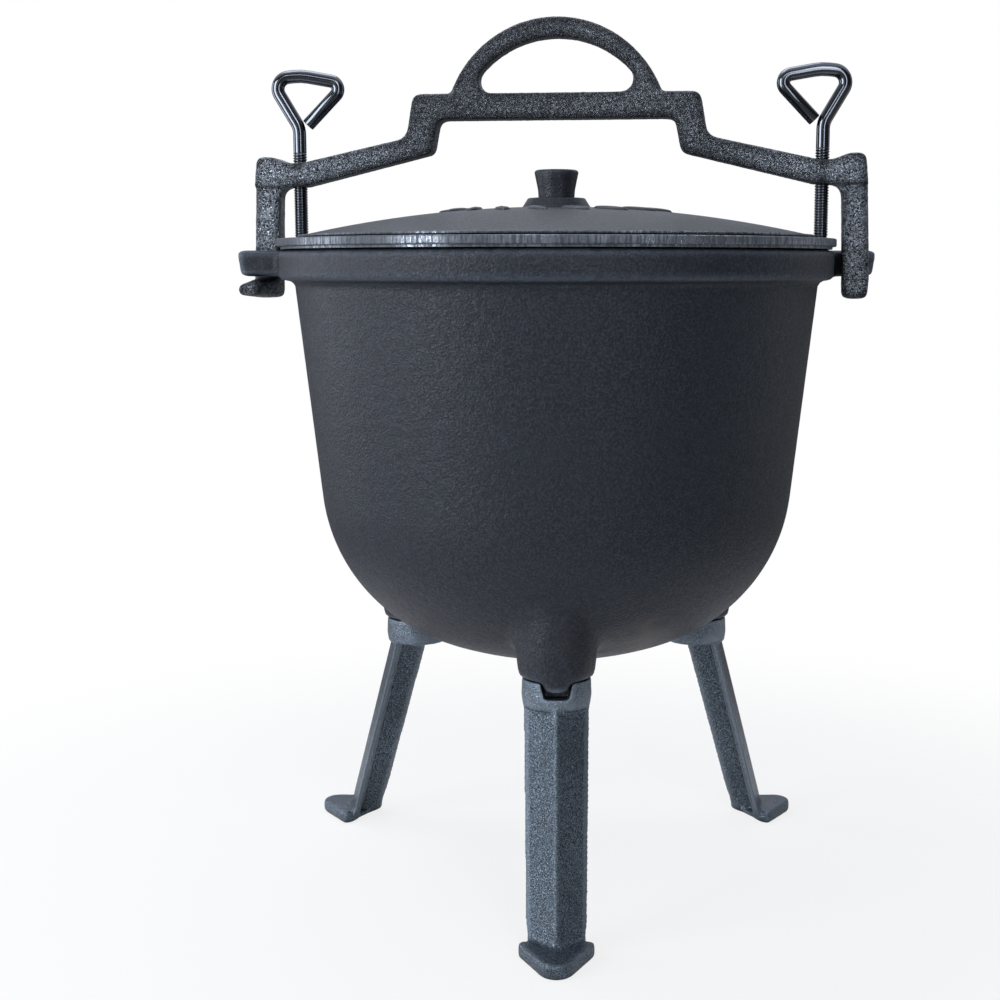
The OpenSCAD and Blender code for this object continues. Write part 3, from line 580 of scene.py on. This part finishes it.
@dataclass
class Casting:
    """A cast piece made from its solid: corners rounded by wear, soft inner fillets and the mould's grain.

    Attributes:
        node: the solid's node.
        piece: the new piece's name.
        body: the body that it rides on.
        slot: its slot in the record; not used.
        finish: its finish.
        skin_mm: spacing of the skin's points.
        wear: number of smoothing passes that round its corners.
        grain_mm: width of the waves that the mould's sand leaves in the shape itself.
        grain_depth_mm: depth of those waves, all of it inwards.
        soft_wear: number of extra passes at its softest spots.
        turn: degrees about Z that bring the piece in front of the pot's axis.
    """

    node: str
    piece: str
    body: str
    slot: str
    finish: CastIron
    skin_mm: float
    wear: int
    grain_mm: float
    grain_depth_mm: float
    soft_wear: int = 0
    turn: float = 0.0

    def grid(self) -> Matrix:
        """Turn that brings the solid to the grid in which its skin's points are laid."""
        return Matrix.Rotation(math.radians(self.turn), 4, "Z")

    def build(self, material: bpy.types.Material) -> bpy.types.Object:
        """Builds the casting and puts it in place of its solid.

        Args:
            material: the finish's material.

        Returns:
            The piece.
        """
        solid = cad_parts[self.node]
        upright = self.grid()
        raw = bpy.data.objects.new(self.piece + "_raw", solid.data.copy())
        raw.data.transform(upright)
        welded = bmesh.new()
        welded.from_mesh(raw.data)
        bmesh.ops.remove_doubles(welded, verts=welded.verts, dist=0.002 * MM)
        welded.to_mesh(raw.data)
        welded.free()
        skin = raw.modifiers.new("skin", "REMESH")
        skin.mode = "VOXEL"
        skin.voxel_size = self.skin_mm * MM
        mesh = self.evaluated(raw)
        mesh.transform(upright.inverted())
        spots = np.empty(len(mesh.vertices) * 3)
        mesh.vertices.foreach_get("co", spots)
        spots = spots.reshape(-1, 3) / MM
        ends = np.empty(len(mesh.edges) * 2, dtype=np.int64)
        mesh.edges.foreach_get("vertices", ends)
        soft = self.softness(spots)
        spots = self.smoothed(spots, ends.reshape(-1, 2), np.ones(len(spots)), self.wear)
        if self.soft_wear:
            spots = self.smoothed(spots, ends.reshape(-1, 2), soft, self.soft_wear)
        spots = self.true_up(spots)
        mesh.vertices.foreach_set("co", (spots * MM).ravel())
        mesh.update()
        grained = bpy.data.objects.new(self.piece + "_grained", mesh)
        for share, width in ((1.0, self.grain_mm), (0.5, self.grain_mm * 3)):
            texture = bpy.data.textures.new(f"{self.piece}_{width:g}", "CLOUDS")
            texture.noise_scale = width * MM
            texture.noise_depth = 1
            grain = grained.modifiers.new("grain", "DISPLACE")
            grain.texture = texture
            grain.texture_coords = "LOCAL"
            grain.mid_level = 1.0
            grain.strength = self.grain_depth_mm * share * MM
        mesh = self.evaluated(grained)
        mesh.name = self.piece
        made = bpy.data.objects.new(self.piece, mesh)
        bpy.context.scene.collection.objects.link(made)
        mesh.polygons.foreach_set("use_smooth", [True] * len(mesh.polygons))
        dress(made, material)
        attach(made, self.body)
        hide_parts(self.node)
        log.info("%s: %d faces", self.piece, len(mesh.polygons))
        return made

    @staticmethod
    def evaluated(raw: bpy.types.Object) -> bpy.types.Mesh:
        """Applies a raw object's modifiers and removes the object."""
        bpy.context.scene.collection.objects.link(raw)
        mesh = bpy.data.meshes.new_from_object(raw.evaluated_get(bpy.context.evaluated_depsgraph_get()))
        bpy.data.objects.remove(raw)
        return mesh

    @staticmethod
    def smoothed(spots: np.ndarray, ends: np.ndarray, share: np.ndarray, passes: int) -> np.ndarray:
        """Draws each point towards its neighbours' middle.

        Args:
            spots: the points.
            ends: the two points of each edge.
            share: how much each point takes part, from 0 to 1.
            passes: how many times.

        Returns:
            The moved points.
        """
        count = len(spots)
        near = np.maximum(np.bincount(ends.ravel(), minlength=count), 1)
        for _ in range(passes):
            middle = np.stack([
                (np.bincount(ends[:, 0], spots[ends[:, 1], axis], count)
                 + np.bincount(ends[:, 1], spots[ends[:, 0], axis], count)) / near for axis in range(3)], axis=1)
            spots = spots + (middle - spots) * (0.5 * share)[:, None]
        return spots

    def softness(self, spots: np.ndarray) -> np.ndarray:
        """How soft the casting is at each point, from 0 to 1; a plain casting is nowhere softer."""
        return np.zeros(len(spots))

    def true_up(self, spots: np.ndarray) -> np.ndarray:
        """Puts points back on exact surfaces; a plain casting has none."""
        return spots


@dataclass
class LegCasting(Casting):
    """A leg, whose foot wear has made rounder than its flanges.

    Attributes:
        foot_top: height that the softer wear reaches.
        lean: degrees about X that bring its long edges upright.
    """

    foot_top: float = 15.0
    lean: float = 16.68

    def grid(self) -> Matrix:
        """Lays the long edges askew in the grid, so that no edge follows a row of points."""
        upright = Matrix.Rotation(math.radians(self.lean), 4, "X") @ super().grid()
        askew = Vector((0.0, 0.0, 1.0)).rotation_difference(Vector((0.37, 0.61, 1.0)))
        return askew.to_matrix().to_4x4() @ upright

    def softness(self, spots: np.ndarray) -> np.ndarray:
        """Full at the foot, fading out just above it."""
        return np.clip((self.foot_top - spots[:, 2]) / 5, 0, 1)


@dataclass
class YokeCasting(Casting):
    """The yoke, whose hanging ends are filed a little thinner than the blocks above them.

    Attributes:
        shoulder_z: height of the blocks' lower edge.
        lug_z: height of the lugs' underside, up to which the hooks reach.
        filed: how much of the thickness is filed off, as a share.
    """

    shoulder_z: float = 392.6
    lug_z: float = 341.0
    filed: float = 0.22

    def true_up(self, spots: np.ndarray) -> np.ndarray:
        """Files the hanging ends, but not the hooks."""
        cosine, sine = math.cos(math.radians(self.turn)), math.sin(math.radians(self.turn))
        along = spots[:, 0] * cosine - spots[:, 1] * sine
        across = spots[:, 0] * sine + spots[:, 1] * cosine
        below = np.clip((self.shoulder_z - spots[:, 2]) / 0.8 + 0.5, 0, 1)
        plain = across * along < 0
        above_hook = np.clip((spots[:, 2] - self.lug_z) / 4, 0, 1)
        across = across * (1 - self.filed * below * np.where(plain, 1.0, above_hook))
        spots[:, 0] = along * cosine + across * sine
        spots[:, 1] = across * cosine - along * sine
        return spots


@dataclass
class PotCasting(Casting):
    """The pot, whose bowl and band are truly round: the solid's small facets are taken out of them.

    Attributes:
        rim_z: height of the rim.
        bowl_r: outer radius of the bowl at the rim.
        taper: how much the side leans out per height.
        knuckle_r: radius of the curve between side and bottom.
        bottom_r: radius of the bottom's curve.
        bottom_z: height of the bottom's lowest point.
        wall: thickness of the bowl's wall.
        band_r: radius of the rim's band.
        boss_at: radius of the circle on which the leg bosses stand.
        boss_r: radius of a boss.
        reach: how far off a point may be to count as one of the surface.
    """

    rim_z: float = 357.0
    bowl_r: float = 148.5
    taper: float = 0.11
    knuckle_r: float = 98.0
    bottom_r: float = 200.0
    bottom_z: float = 125.4
    wall: float = 4.5
    band_r: float = 155.0
    boss_at: float = 98.8
    boss_r: float = 20.1
    reach: float = 0.25

    def outside(self, points: np.ndarray) -> tuple[np.ndarray, np.ndarray]:
        """Distance of points outside the bowl's outer surface, and its outward directions there.

        Args:
            points: radius and height of each point.

        Returns:
            The distances and the directions.
        """
        along = np.array([self.taper, 1.0]) / math.hypot(self.taper, 1.0)
        out = np.array([along[1], -along[0]])
        bottom = np.array([0.0, self.bottom_z + self.bottom_r])
        base = np.array([self.bowl_r, self.rim_z]) - self.knuckle_r * out
        from_bottom = base - bottom
        toward = along @ from_bottom
        slide = toward + math.sqrt(toward ** 2 - from_bottom @ from_bottom + (self.bottom_r - self.knuckle_r) ** 2)
        knuckle = base - along * slide
        split = knuckle - bottom
        from_knuckle, from_base = points - knuckle, points - bottom
        on_side = from_knuckle @ along > 0
        on_bottom = from_base[:, 0] * split[1] - from_base[:, 1] * split[0] > 0
        far_knuckle = np.linalg.norm(from_knuckle, axis=1)
        far_bottom = np.linalg.norm(from_base, axis=1)
        distance = np.where(on_side, (points - [self.bowl_r, self.rim_z]) @ out, np.where(
            on_bottom, far_bottom - self.bottom_r, far_knuckle - self.knuckle_r))
        way = np.where(on_side[:, None], out, np.where(
            on_bottom[:, None], from_base / far_bottom[:, None], from_knuckle / far_knuckle[:, None]))
        return distance, way

    def softness(self, spots: np.ndarray) -> np.ndarray:
        """Full where a leg's boss runs into the bowl, so that a wide fillet joins them."""
        distance, _ = self.outside(np.stack([np.hypot(spots[:, 0], spots[:, 1]), spots[:, 2]], axis=1))
        soft = np.zeros(len(spots))
        for bearing in (-90, 30, 150):
            turn = math.radians(bearing)
            away = np.hypot(spots[:, 0] - self.boss_at * math.cos(turn), spots[:, 1] - self.boss_at * math.sin(turn))
            around = np.clip((self.boss_r + 12 - away) / 6, 0, 1) * np.clip((away - self.boss_r + 6) / 3, 0, 1)
            soft = np.maximum(soft, around * np.clip((9 - distance) / 4, 0, 1) * (distance > -2))
        return soft

    def true_up(self, spots: np.ndarray) -> np.ndarray:
        """Puts the points of the bowl and of the band back on their exact surfaces."""
        reach = np.hypot(spots[:, 0], spots[:, 1])
        points = np.stack([reach, spots[:, 2]], axis=1)
        distance, way = self.outside(points)
        for inset in (0.0, self.wall):
            off = distance + inset
            share = np.clip(2 - np.abs(off) / self.reach, 0, 1)
            points -= way * (off * share)[:, None]
        off = points[:, 0] - self.band_r
        share = np.clip(2 - np.abs(off) / self.reach, 0, 1) * (points[:, 1] > self.rim_z - 18)
        points[:, 0] -= off * share
        spots[:, :2] *= (points[:, 0] / np.maximum(reach, 1e-6))[:, None]
        spots[:, 2] = points[:, 1]
        return spots


# Lid


@dataclass
class Lid:
    """Domed lid with its step, rib and pad, and the ring of leaves on its dome.

    All sizes are in millimetres and follow the solids.
    """

    edge_r: float = 156.0
    under_z: float = 358.6
    flange_z: float = 363.0
    step_r: float = 144.5
    step_z: float = 365.2
    dome_r: float = 141.0
    crown_z: float = 381.0
    wall: float = 4.0
    rib_r: float = 142.97
    rib_wall: float = 4.0
    rib_z: float = 353.6
    lip_r: float = 153.8
    lip_w: float = 1.6
    lip_z: float = 357.2
    pad_r: float = 16.0
    pad_foot_r: float = 19.5
    pad_z: float = 386.0
    hole_r: float = 4.3
    inner_pad_r: float = 13.0
    inner_pad_z: float = 375.5
    leaf_count: int = 18
    leaf_l: float = 20.0
    leaf_w: float = 8.5
    leaf_h: float = 1.6
    leaf_ring_r: float = 58.0
    leaf_tilt: float = 38.0
    segments: int = 288

    @property
    def curve_r(self) -> float:
        """Radius of the dome's curve."""
        rise = self.crown_z - self.step_z
        return (self.dome_r ** 2 + rise ** 2) / (2 * rise)

    def dome_z(self, r: float, shift: float = 0.0) -> float:
        """Height of the dome's surface at radius r, on a curve moved outwards by shift."""
        return self.crown_z - self.curve_r + math.sqrt((self.curve_r + shift) ** 2 - r ** 2)

    def profile(self) -> list[Point]:
        """Closed outline of the lid's wall, from the hole outwards and back inside."""
        outside: list[Corner] = [
            (self.hole_r, self.pad_z, 0.4),
            (self.pad_r, self.pad_z, 1.2),
            (self.pad_foot_r, self.dome_z(self.pad_foot_r) - 0.2, 2.5),
        ]
        outside += [(r, self.dome_z(r), 0.0) for r in np.linspace(26, self.dome_r - 5, 24)]
        outside += [
            (self.dome_r - 0.6, self.dome_z(self.dome_r - 0.6), 0.4),
            (self.dome_r + 0.6, self.step_z - 0.6, 0.4),
            (self.dome_r + 1.2, self.step_z, 0.5),
            (self.step_r, self.step_z - 0.1, 0.7),
            (self.step_r - 0.1, self.step_z - 1.3, 0.3),
            (self.step_r - 1.2, self.step_z - 1.7, 0.3),
            (self.step_r - 1.2, self.flange_z, 0.3),
            (self.edge_r, self.flange_z, 0.9),
            (self.edge_r, self.under_z, 0.9),
            (self.lip_r, self.under_z, 0.2),
            (self.lip_r, self.lip_z, 0.3),
            (self.lip_r - self.lip_w, self.lip_z, 0.3),
            (self.lip_r - self.lip_w, self.under_z, 0.3),
            (self.rib_r, self.under_z, 0.8),
            (self.rib_r, self.rib_z, 0.8),
            (self.rib_r - self.rib_wall, self.rib_z, 0.8),
            (self.rib_r - self.rib_wall, self.dome_z(self.rib_r - self.rib_wall, -self.wall), 3.0),
        ]
        outside += [(r, self.dome_z(r, -self.wall), 0.0) for r in np.linspace(self.rib_r - 12, 18, 24)]
        outside += [
            (self.inner_pad_r, self.dome_z(self.inner_pad_r, -self.wall), 0.5),
            (self.inner_pad_r, self.inner_pad_z, 0.4),
            (self.hole_r, self.inner_pad_z, 0.3),
        ]
        return rounded(outside)

    def leaf(self, index: int) -> bpy.types.Object:
        """One crowned leaf with a midrib, seated in the dome.

        Args:
            index: its place in the ring.

        Returns:
            The leaf.
        """
        rows, columns = 16, 8
        verts, faces = [], []
        tilt = math.radians(self.leaf_tilt)
        turn = 2 * math.pi * index / self.leaf_count
        for side in (1, 0):
            for i in range(rows + 1):
                along = -1 + 2 * i / rows
                half = self.leaf_w / 2 * max(0.0, 1 - along ** 2) ** 0.75
                for k in range(columns + 1):
                    across = -1 + 2 * k / columns
                    x, y = along * self.leaf_l / 2, across * half
                    u = x * math.cos(tilt) - y * math.sin(tilt) + self.leaf_ring_r
                    v = x * math.sin(tilt) + y * math.cos(tilt)
                    crown = (1 - abs(across) ** 2.5) * (1 - abs(along) ** 4)
                    rib = 0.30 * math.exp(-(across * 5) ** 2) * (1 - along ** 2)
                    lift = (self.leaf_h - 0.3) * crown ** 0.3 + rib if side else -1.2
                    z = self.dome_z(math.hypot(u, v)) + lift
                    verts.append((u * math.cos(turn) - v * math.sin(turn),
                                  u * math.sin(turn) + v * math.cos(turn), z))
        width = columns + 1
        layer = (rows + 1) * width
        for i in range(rows):
            for k in range(columns):
                a = i * width + k
                faces.append((a, a + 1, a + width + 1, a + width))
                faces.append((layer + a, layer + a + width, layer + a + width + 1, layer + a + 1))
        for i in range(rows):
            for k in (0, columns):
                a = i * width + k
                faces.append((a, a + width, layer + a + width, layer + a))
        for k in range(columns):
            for i in (0, rows):
                a = i * width + k
                faces.append((a, layer + a, layer + a + 1, a + 1))
        return mesh_piece(f"leaf_{index}", verts, faces, 60)

    def build(self, material: bpy.types.Material) -> bpy.types.Object:
        """Builds the lid with its leaves.

        Args:
            material: the lid's material.

        Returns:
            The piece.
        """
        shell = turned("lid_shell", self.profile(), self.segments)
        made = join("lid_casting", [shell] + [self.leaf(i) for i in range(self.leaf_count)])
        dress(made, material)
        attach(made, "lid")
        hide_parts("lid")
        log.info("lid_casting: %d faces", len(made.data.polygons))
        return made


@dataclass
class Knob:
    """The lid's knob, a cone that widens upwards, with a shallow dish in its top. Sizes in millimetres."""

    foot_r: float = 10.4
    top_r: float = 12.5
    foot_z: float = 386.0
    top_z: float = 401.6
    dish: float = 0.7
    dish_r: float = 8.5
    hole_r: float = 4.05
    hole_top_z: float = 396.0

    def build(self, material: bpy.types.Material) -> bpy.types.Object:
        """Builds the knob.

        Args:
            material: the lid's material.

        Returns:
            The piece.
        """
        path: list[Corner] = [
            (self.hole_r, self.foot_z, 0.0),
            (self.foot_r - 0.3, self.foot_z, 0.4),
            (self.foot_r, self.foot_z + 4.5, 6.0),
            (self.top_r, self.top_z - 0.9, 1.4),
            (self.top_r - 1.6, self.top_z, 1.6),
            (self.dish_r, self.top_z - self.dish * 0.5, 3.0),
            (4.0, self.top_z - self.dish, 0.0),
            (0.0, self.top_z - self.dish, 0.0),
            (0.0, self.hole_top_z, 0.0),
            (self.hole_r, self.hole_top_z, 0.0),
        ]
        made = turned("lid_knob_cone", rounded(path, 10), 96)
        dress(made, material)
        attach(made, "lid")
        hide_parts("lid_knob")
        log.info("lid_knob_cone: %d faces", len(made.data.polygons))
        return made


# Clamp screws


class Side(Enum):
    """Which of the yoke's two ends a clamp screw stands in."""

    LEFT = "left"
    RIGHT = "right"


@dataclass
class ClampScrew:
    """A clamp screw: threaded rod, plain neck and a bent eye. All sizes are in millimetres."""

    side: Side
    axis_u: float = 147.3
    rest_turn: float = 6.6414
    tip_z: float = 363.25
    crest_r: float = 3.9
    root_r: float = 3.28
    pitch: float = 1.5
    thread_l: float = 49.6
    shank_l: float = 62.8
    rod_r: float = 3.7
    tip_taper: float = 1.3
    eye_left: Corner = (-16.0, 27.0, 6.6)
    eye_top: Corner = (1.5, 28.9, 30.0)
    eye_right: Corner = (27.0, 24.5, 4.6)
    eye_end: Corner = (5.0, 1.7, 0.0)
    neck_round: float = 12.0
    around: int = 40
    steps_per_pitch: int = 10

    def place(self) -> Matrix:
        """Matrix that puts the screw in its hole of the yoke."""
        turn = math.radians(self.rest_turn)
        sign = -1 if self.side is Side.LEFT else 1
        spot = Vector((sign * self.axis_u * math.cos(turn), -sign * self.axis_u * math.sin(turn), 0)) * MM
        spin = 0.0 if self.side is Side.LEFT else math.pi
        return Matrix.Translation(spot) @ Matrix.Rotation(spin, 4, "Z")

    def thread_radius(self, height: float, angle: float) -> float:
        """Radius of the thread's surface.

        Args:
            height: height above the tip.
            angle: angle round the axis, in radians.

        Returns:
            The radius, with the run-out at the top and the chamfer at the tip.
        """
        phase = (height / self.pitch - angle / (2 * math.pi)) % 1.0
        flank = min(1.0, max(0.0, abs(phase - 0.5) * 2 * 1.7 - 0.15))
        depth = (self.crest_r - self.root_r) * (1 - flank)
        fade = min(1.0, max(0.0, (self.thread_l - height) / (1.6 * self.pitch)))
        crest = self.rod_r + (self.crest_r - self.rod_r) * fade
        chamfer = self.tip_taper * (1 - min(1.0, height / self.tip_taper))
        return min(crest - depth * fade, self.crest_r - chamfer)

    def eye_path(self) -> list[Vector]:
        """Centre line of the neck and the eye, from the thread's end."""
        bend = self.tip_z + self.shank_l
        corners: list[Corner] = [
            (0.0, self.tip_z + self.thread_l + 0.4, 0.0),
            (0.0, bend, self.neck_round),
        ]
        corners += [(x, bend + z, radius) for x, z, radius in (
            self.eye_left, self.eye_top, self.eye_right, self.eye_end)]
        return [Vector((x, 0.0, z)) for x, z in rounded(corners, 9)]

    def build(self, material: bpy.types.Material) -> bpy.types.Object:
        """Builds the screw.

        Args:
            material: the steel's material.

        Returns:
            The piece.
        """
        rings: list[list[tuple[float, float, float]]] = []
        rows = int(self.thread_l / self.pitch * self.steps_per_pitch)
        rings.append([(0.0, 0.0, self.tip_z)] * self.around)
        for i in range(rows + 1):
            height = self.thread_l * i / rows
            ring = []
            for k in range(self.around):
                angle = 2 * math.pi * k / self.around
                r = self.thread_radius(height, angle)
                ring.append((r * math.cos(angle), r * math.sin(angle), self.tip_z + height))
            rings.append(ring)
        path = self.eye_path()
        across = Vector((0.0, 1.0, 0.0))
        for i, point in enumerate(path):
            ahead = (path[min(i + 1, len(path) - 1)] - path[max(i - 1, 0)]).normalized()
            side = across.cross(ahead).normalized()
            ring = []
            for k in range(self.around):
                angle = 2 * math.pi * k / self.around
                spoke = side * math.cos(angle) + across * math.sin(angle)
                ring.append(tuple(point + spoke * self.rod_r))
            rings.append(ring)
        ahead = (path[-1] - path[-2]).normalized()
        side = across.cross(ahead).normalized()
        inset = 0.35
        ring = []
        for k in range(self.around):
            angle = 2 * math.pi * k / self.around
            spoke = side * math.cos(angle) + across * math.sin(angle)
            ring.append(tuple(path[-1] + ahead * inset + spoke * (self.rod_r - inset)))
        rings.append(ring)
        verts: list[tuple[float, float, float]] = [rings[0][0]]
        index = [[0] * self.around]
        for ring in rings[1:]:
            start = len(verts)
            verts.extend(ring)
            index.append(list(range(start, start + self.around)))
        faces: list[tuple[int, ...]] = []
        for a, b in zip(index, index[1:]):
            for k in range(self.around):
                n = (k + 1) % self.around
                face = tuple(dict.fromkeys((a[k], a[n], b[n], b[k])))
                if len(face) > 2:
                    faces.append(face)
        faces.append(tuple(index[-1]))
        name = f"{self.side.value}_screw_threaded"
        made = mesh_piece(name, verts, faces, 50)
        made.data.transform(self.place())
        dress(made, material)
        body = f"{self.side.value}_clamp_screw"
        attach(made, body)
        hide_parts(body)
        log.info("%s: %d faces", name, len(made.data.polygons))
        return made


# Studio


@dataclass
class Studio:
    """Pale floor, white surroundings, soft lamps and the camera at the photograph's angle."""

    camera_back: float = 0.92086
    camera_height: float = 0.348
    camera_pitch: float = 8.251
    focal_px: float = 1610.34
    frame_px: float = 1000.0
    axis_px: float = 556.5
    sensor_mm: float = 36.0
    world_strength: float = 0.22
    front_glow: float = 0.07
    floor_reach: float = 6.0
    floor_white: float = 0.80
    floor_glow: float = 0.17

    def build_world(self) -> None:
        """Makes a white studio: its backdrop stands behind the object, and its camera side is dim."""
        world = bpy.data.worlds.new("white_studio")
        bpy.context.scene.world = world
        world.use_nodes = True
        tree = world.node_tree
        tree.nodes.clear()
        rays = add_node(tree, "ShaderNodeLightPath")
        way = add_node(tree, "ShaderNodeTexCoord").outputs["Generated"]
        above = add_node(tree, "ShaderNodeVectorMath", {0: way, 1: (0.0, 0.40, 0.92)}, operation="DOT_PRODUCT")
        room = add_node(tree, "ShaderNodeMapRange", {
            "Value": above.outputs["Value"], "From Min": 0.28, "From Max": 0.80,
            "To Min": self.front_glow, "To Max": 1.0}, interpolation_type="SMOOTHSTEP")
        shown = add_node(tree, "ShaderNodeBackground", {"Color": (1, 1, 1, 1), "Strength": 1.0})
        mirrored = add_node(tree, "ShaderNodeBackground", {
            "Color": linear("#EDF3FF"), "Strength": room.outputs["Result"]})
        light = add_node(tree, "ShaderNodeBackground", {
            "Color": linear("#EAF1FF"), "Strength": self.world_strength})
        sharp = add_node(tree, "ShaderNodeMath", {
            0: rays.outputs["Is Glossy Ray"], 1: rays.outputs["Is Transmission Ray"]}, operation="MAXIMUM")
        lit = add_node(tree, "ShaderNodeMixShader", {
            0: sharp.outputs["Value"], 1: light.outputs["Background"], 2: mirrored.outputs["Background"]})
        mixed = add_node(tree, "ShaderNodeMixShader", {
            0: rays.outputs["Is Camera Ray"], 1: lit.outputs["Shader"], 2: shown.outputs["Background"]})
        add_node(tree, "ShaderNodeOutputWorld", {"Surface": mixed.outputs["Shader"]})

    def build_floor(self) -> None:
        """Lays a white floor that keeps the object's shadow and runs into the white backdrop."""
        far = self.floor_reach * 1000
        floor = mesh_piece("studio_floor", [(-far, -far, 0), (far, -far, 0), (far, far, 0), (-far, far, 0)],
                           [(0, 1, 2, 3)])
        material, tree = new_material("white_studio_floor")
        rays = add_node(tree, "ShaderNodeLightPath")
        place = add_node(tree, "ShaderNodeTexCoord").outputs["Object"]
        away = add_node(tree, "ShaderNodeVectorMath", {0: place}, operation="LENGTH").outputs["Value"]
        plain = add_node(tree, "ShaderNodeMapRange", {
            "Value": away, "From Min": 0.22, "From Max": 0.60, "To Min": self.floor_white, "To Max": 1.0},
            interpolation_type="SMOOTHSTEP")
        seen = add_node(tree, "ShaderNodeMath", {
            0: rays.outputs["Is Camera Ray"], 1: plain.outputs["Result"]}, operation="MULTIPLY")
        share = add_node(tree, "ShaderNodeMath", {0: seen.outputs["Value"], 1: self.floor_glow}, operation="MAXIMUM")
        far = add_node(tree, "ShaderNodeMapRange", {
            "Value": away, "From Min": 0.25, "From Max": 0.60}, interpolation_type="SMOOTHSTEP")
        dim = add_node(tree, "ShaderNodeMath", {
            0: rays.outputs["Is Glossy Ray"], 1: far.outputs["Result"]}, operation="MULTIPLY")
        tone = add_node(tree, "ShaderNodeMix", {
            "Factor": dim.outputs["Value"], 6: linear("#F2F2F2"), 7: linear("#404040")}, data_type="RGBA")
        matt = add_node(tree, "ShaderNodeBsdfDiffuse", {"Color": tone.outputs[2]})
        glow = add_node(tree, "ShaderNodeEmission", {"Color": (1, 1, 1, 1), "Strength": 1.0})
        mixed = add_node(tree, "ShaderNodeMixShader", {
            0: share.outputs["Value"], 1: matt.outputs["BSDF"], 2: glow.outputs["Emission"]})
        add_node(tree, "ShaderNodeOutputMaterial", {"Surface": mixed.outputs["Shader"]})
        dress(floor, material)

    def add_lamp(self, name: str, spot: tuple[float, float, float], aim: tuple[float, float, float],
                 size: tuple[float, float], watts: float, colour: str = "#EEF4FF") -> None:
        """Adds a soft rectangular lamp.

        Args:
            name: the lamp's name.
            spot: where it stands, in metres.
            aim: what it points at, in metres.
            size: its width and height, in metres.
            watts: its power.
            colour: its colour.
        """
        data = bpy.data.lights.new(name, "AREA")
        data.shape = "RECTANGLE"
        data.size, data.size_y = size
        data.energy = watts
        data.color = linear(colour)[:3]
        lamp = bpy.data.objects.new(name, data)
        lamp.location = spot
        lamp.rotation_mode = "QUATERNION"
        lamp.rotation_quaternion = (Vector(aim) - Vector(spot)).to_track_quat("-Z", "Y")
        bpy.context.scene.collection.objects.link(lamp)

    def build_camera(self) -> None:
        """Sets up the camera that sees what the photograph sees."""
        data = bpy.data.cameras.new("photo_camera")
        data.sensor_fit = "HORIZONTAL"
        data.sensor_width = self.sensor_mm
        data.lens = self.focal_px / self.frame_px * self.sensor_mm
        data.shift_x = -(self.axis_px - self.frame_px / 2) / self.frame_px
        data.clip_start, data.clip_end = 0.01, 50.0
        camera = bpy.data.objects.new("photo_camera", data)
        camera.location = (0.0, -self.camera_back, self.camera_height)
        camera.rotation_euler = (math.radians(90 - self.camera_pitch), 0.0, 0.0)
        bpy.context.scene.collection.objects.link(camera)
        bpy.context.scene.camera = camera

    def build(self) -> None:
        """Builds the whole studio."""
        bpy.context.scene.view_settings.view_transform = "Standard"
        self.build_world()
        self.build_floor()
        middle = (0.0, 0.0, 0.26)
        self.add_lamp("key_left", (-1.08, -0.76, 0.50), middle, (0.6, 1.0), 13.4)
        self.add_lamp("soft_right", (0.42, -1.28, 0.80), (0.0, 0.0, 0.42), (0.3, 1.3), 5)
        self.add_lamp("front_top", (0.0, -1.25, 1.02), (0.0, 0.0, 0.45), (1.1, 0.2), 3)
        self.add_lamp("rim_left", (-1.25, 0.35, 0.30), middle, (0.6, 1.2), 7)
        self.add_lamp("rim_right", (1.20, 0.40, 0.30), middle, (0.4, 1.2), 1.2)
        self.add_lamp("strip_front", (-0.55, -1.35, 0.45), (0.0, 0.0, 0.36), (0.12, 0.9), 0.5)
        self.add_lamp("top_soft", (-0.2, 0.35, 1.40), middle, (0.9, 0.6), 6)
        self.build_camera()
        log.info("studio built")


# The whole


@dataclass
class Cauldron:
    """All the detailed pieces of the cauldron."""

    pot: PotCasting = field(default_factory=lambda: PotCasting(
        "pot", "pot_casting", "pot", "pot_iron", POT_IRON, 1.9, 3, 9.0, 0.10, soft_wear=28))
    yoke: YokeCasting = field(default_factory=lambda: YokeCasting(
        "yoke", "yoke_casting", "yoke", "rough_iron", YOKE_IRON, 0.7, 26, 1.3, 0.26, turn=6.6414))
    lid: Lid = field(default_factory=Lid)
    knob: Knob = field(default_factory=Knob)
    screws: list[ClampScrew] = field(default_factory=lambda: [ClampScrew(side) for side in Side])

    def legs(self) -> list[LegCasting]:
        """The three legs' castings."""
        return [LegCasting(f"{place}_leg", f"{place}_leg_casting", "pot", "rough_iron", LEG_IRON,
                           skin, wear, 1.1, 0.05, soft_wear=40, turn=turn)
                for place, turn, skin, wear in (
                    ("front", 0.0, 0.55, 16), ("rear_left", 120.0, 0.65, 11), ("rear_right", -120.0, 0.65, 11))]

    def build(self) -> None:
        """Builds and dresses every piece."""
        castings = [self.pot, self.yoke, *self.legs()]
        materials: dict[str, bpy.types.Material] = {}
        for finish in (POT_IRON, LID_IRON, YOKE_IRON, LEG_IRON, SCREW_STEEL, ZINC_STEEL):
            materials[finish.name] = finish.material()
        for casting in castings:
            casting.build(materials[casting.finish.name])
        self.lid.build(materials[LID_IRON.name])
        self.knob.build(materials[LID_IRON.name])
        for screw in self.screws:
            screw.build(materials[SCREW_STEEL.name])
        for name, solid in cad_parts.items():
            if name.endswith(("_bolt", "_washer")) or name == "lid_knob_screw":
                for slot in solid.material_slots:
                    slot.material = materials[ZINC_STEEL.name]
                log.info("%s: dressed in zinc", name)


def main() -> None:
    """Builds the cauldron and its studio."""
    logging.basicConfig(level=logging.INFO, format="%(name)s: %(message)s")
    Cauldron().build()
    Studio().build()


if __name__ == "__main__":
    main()
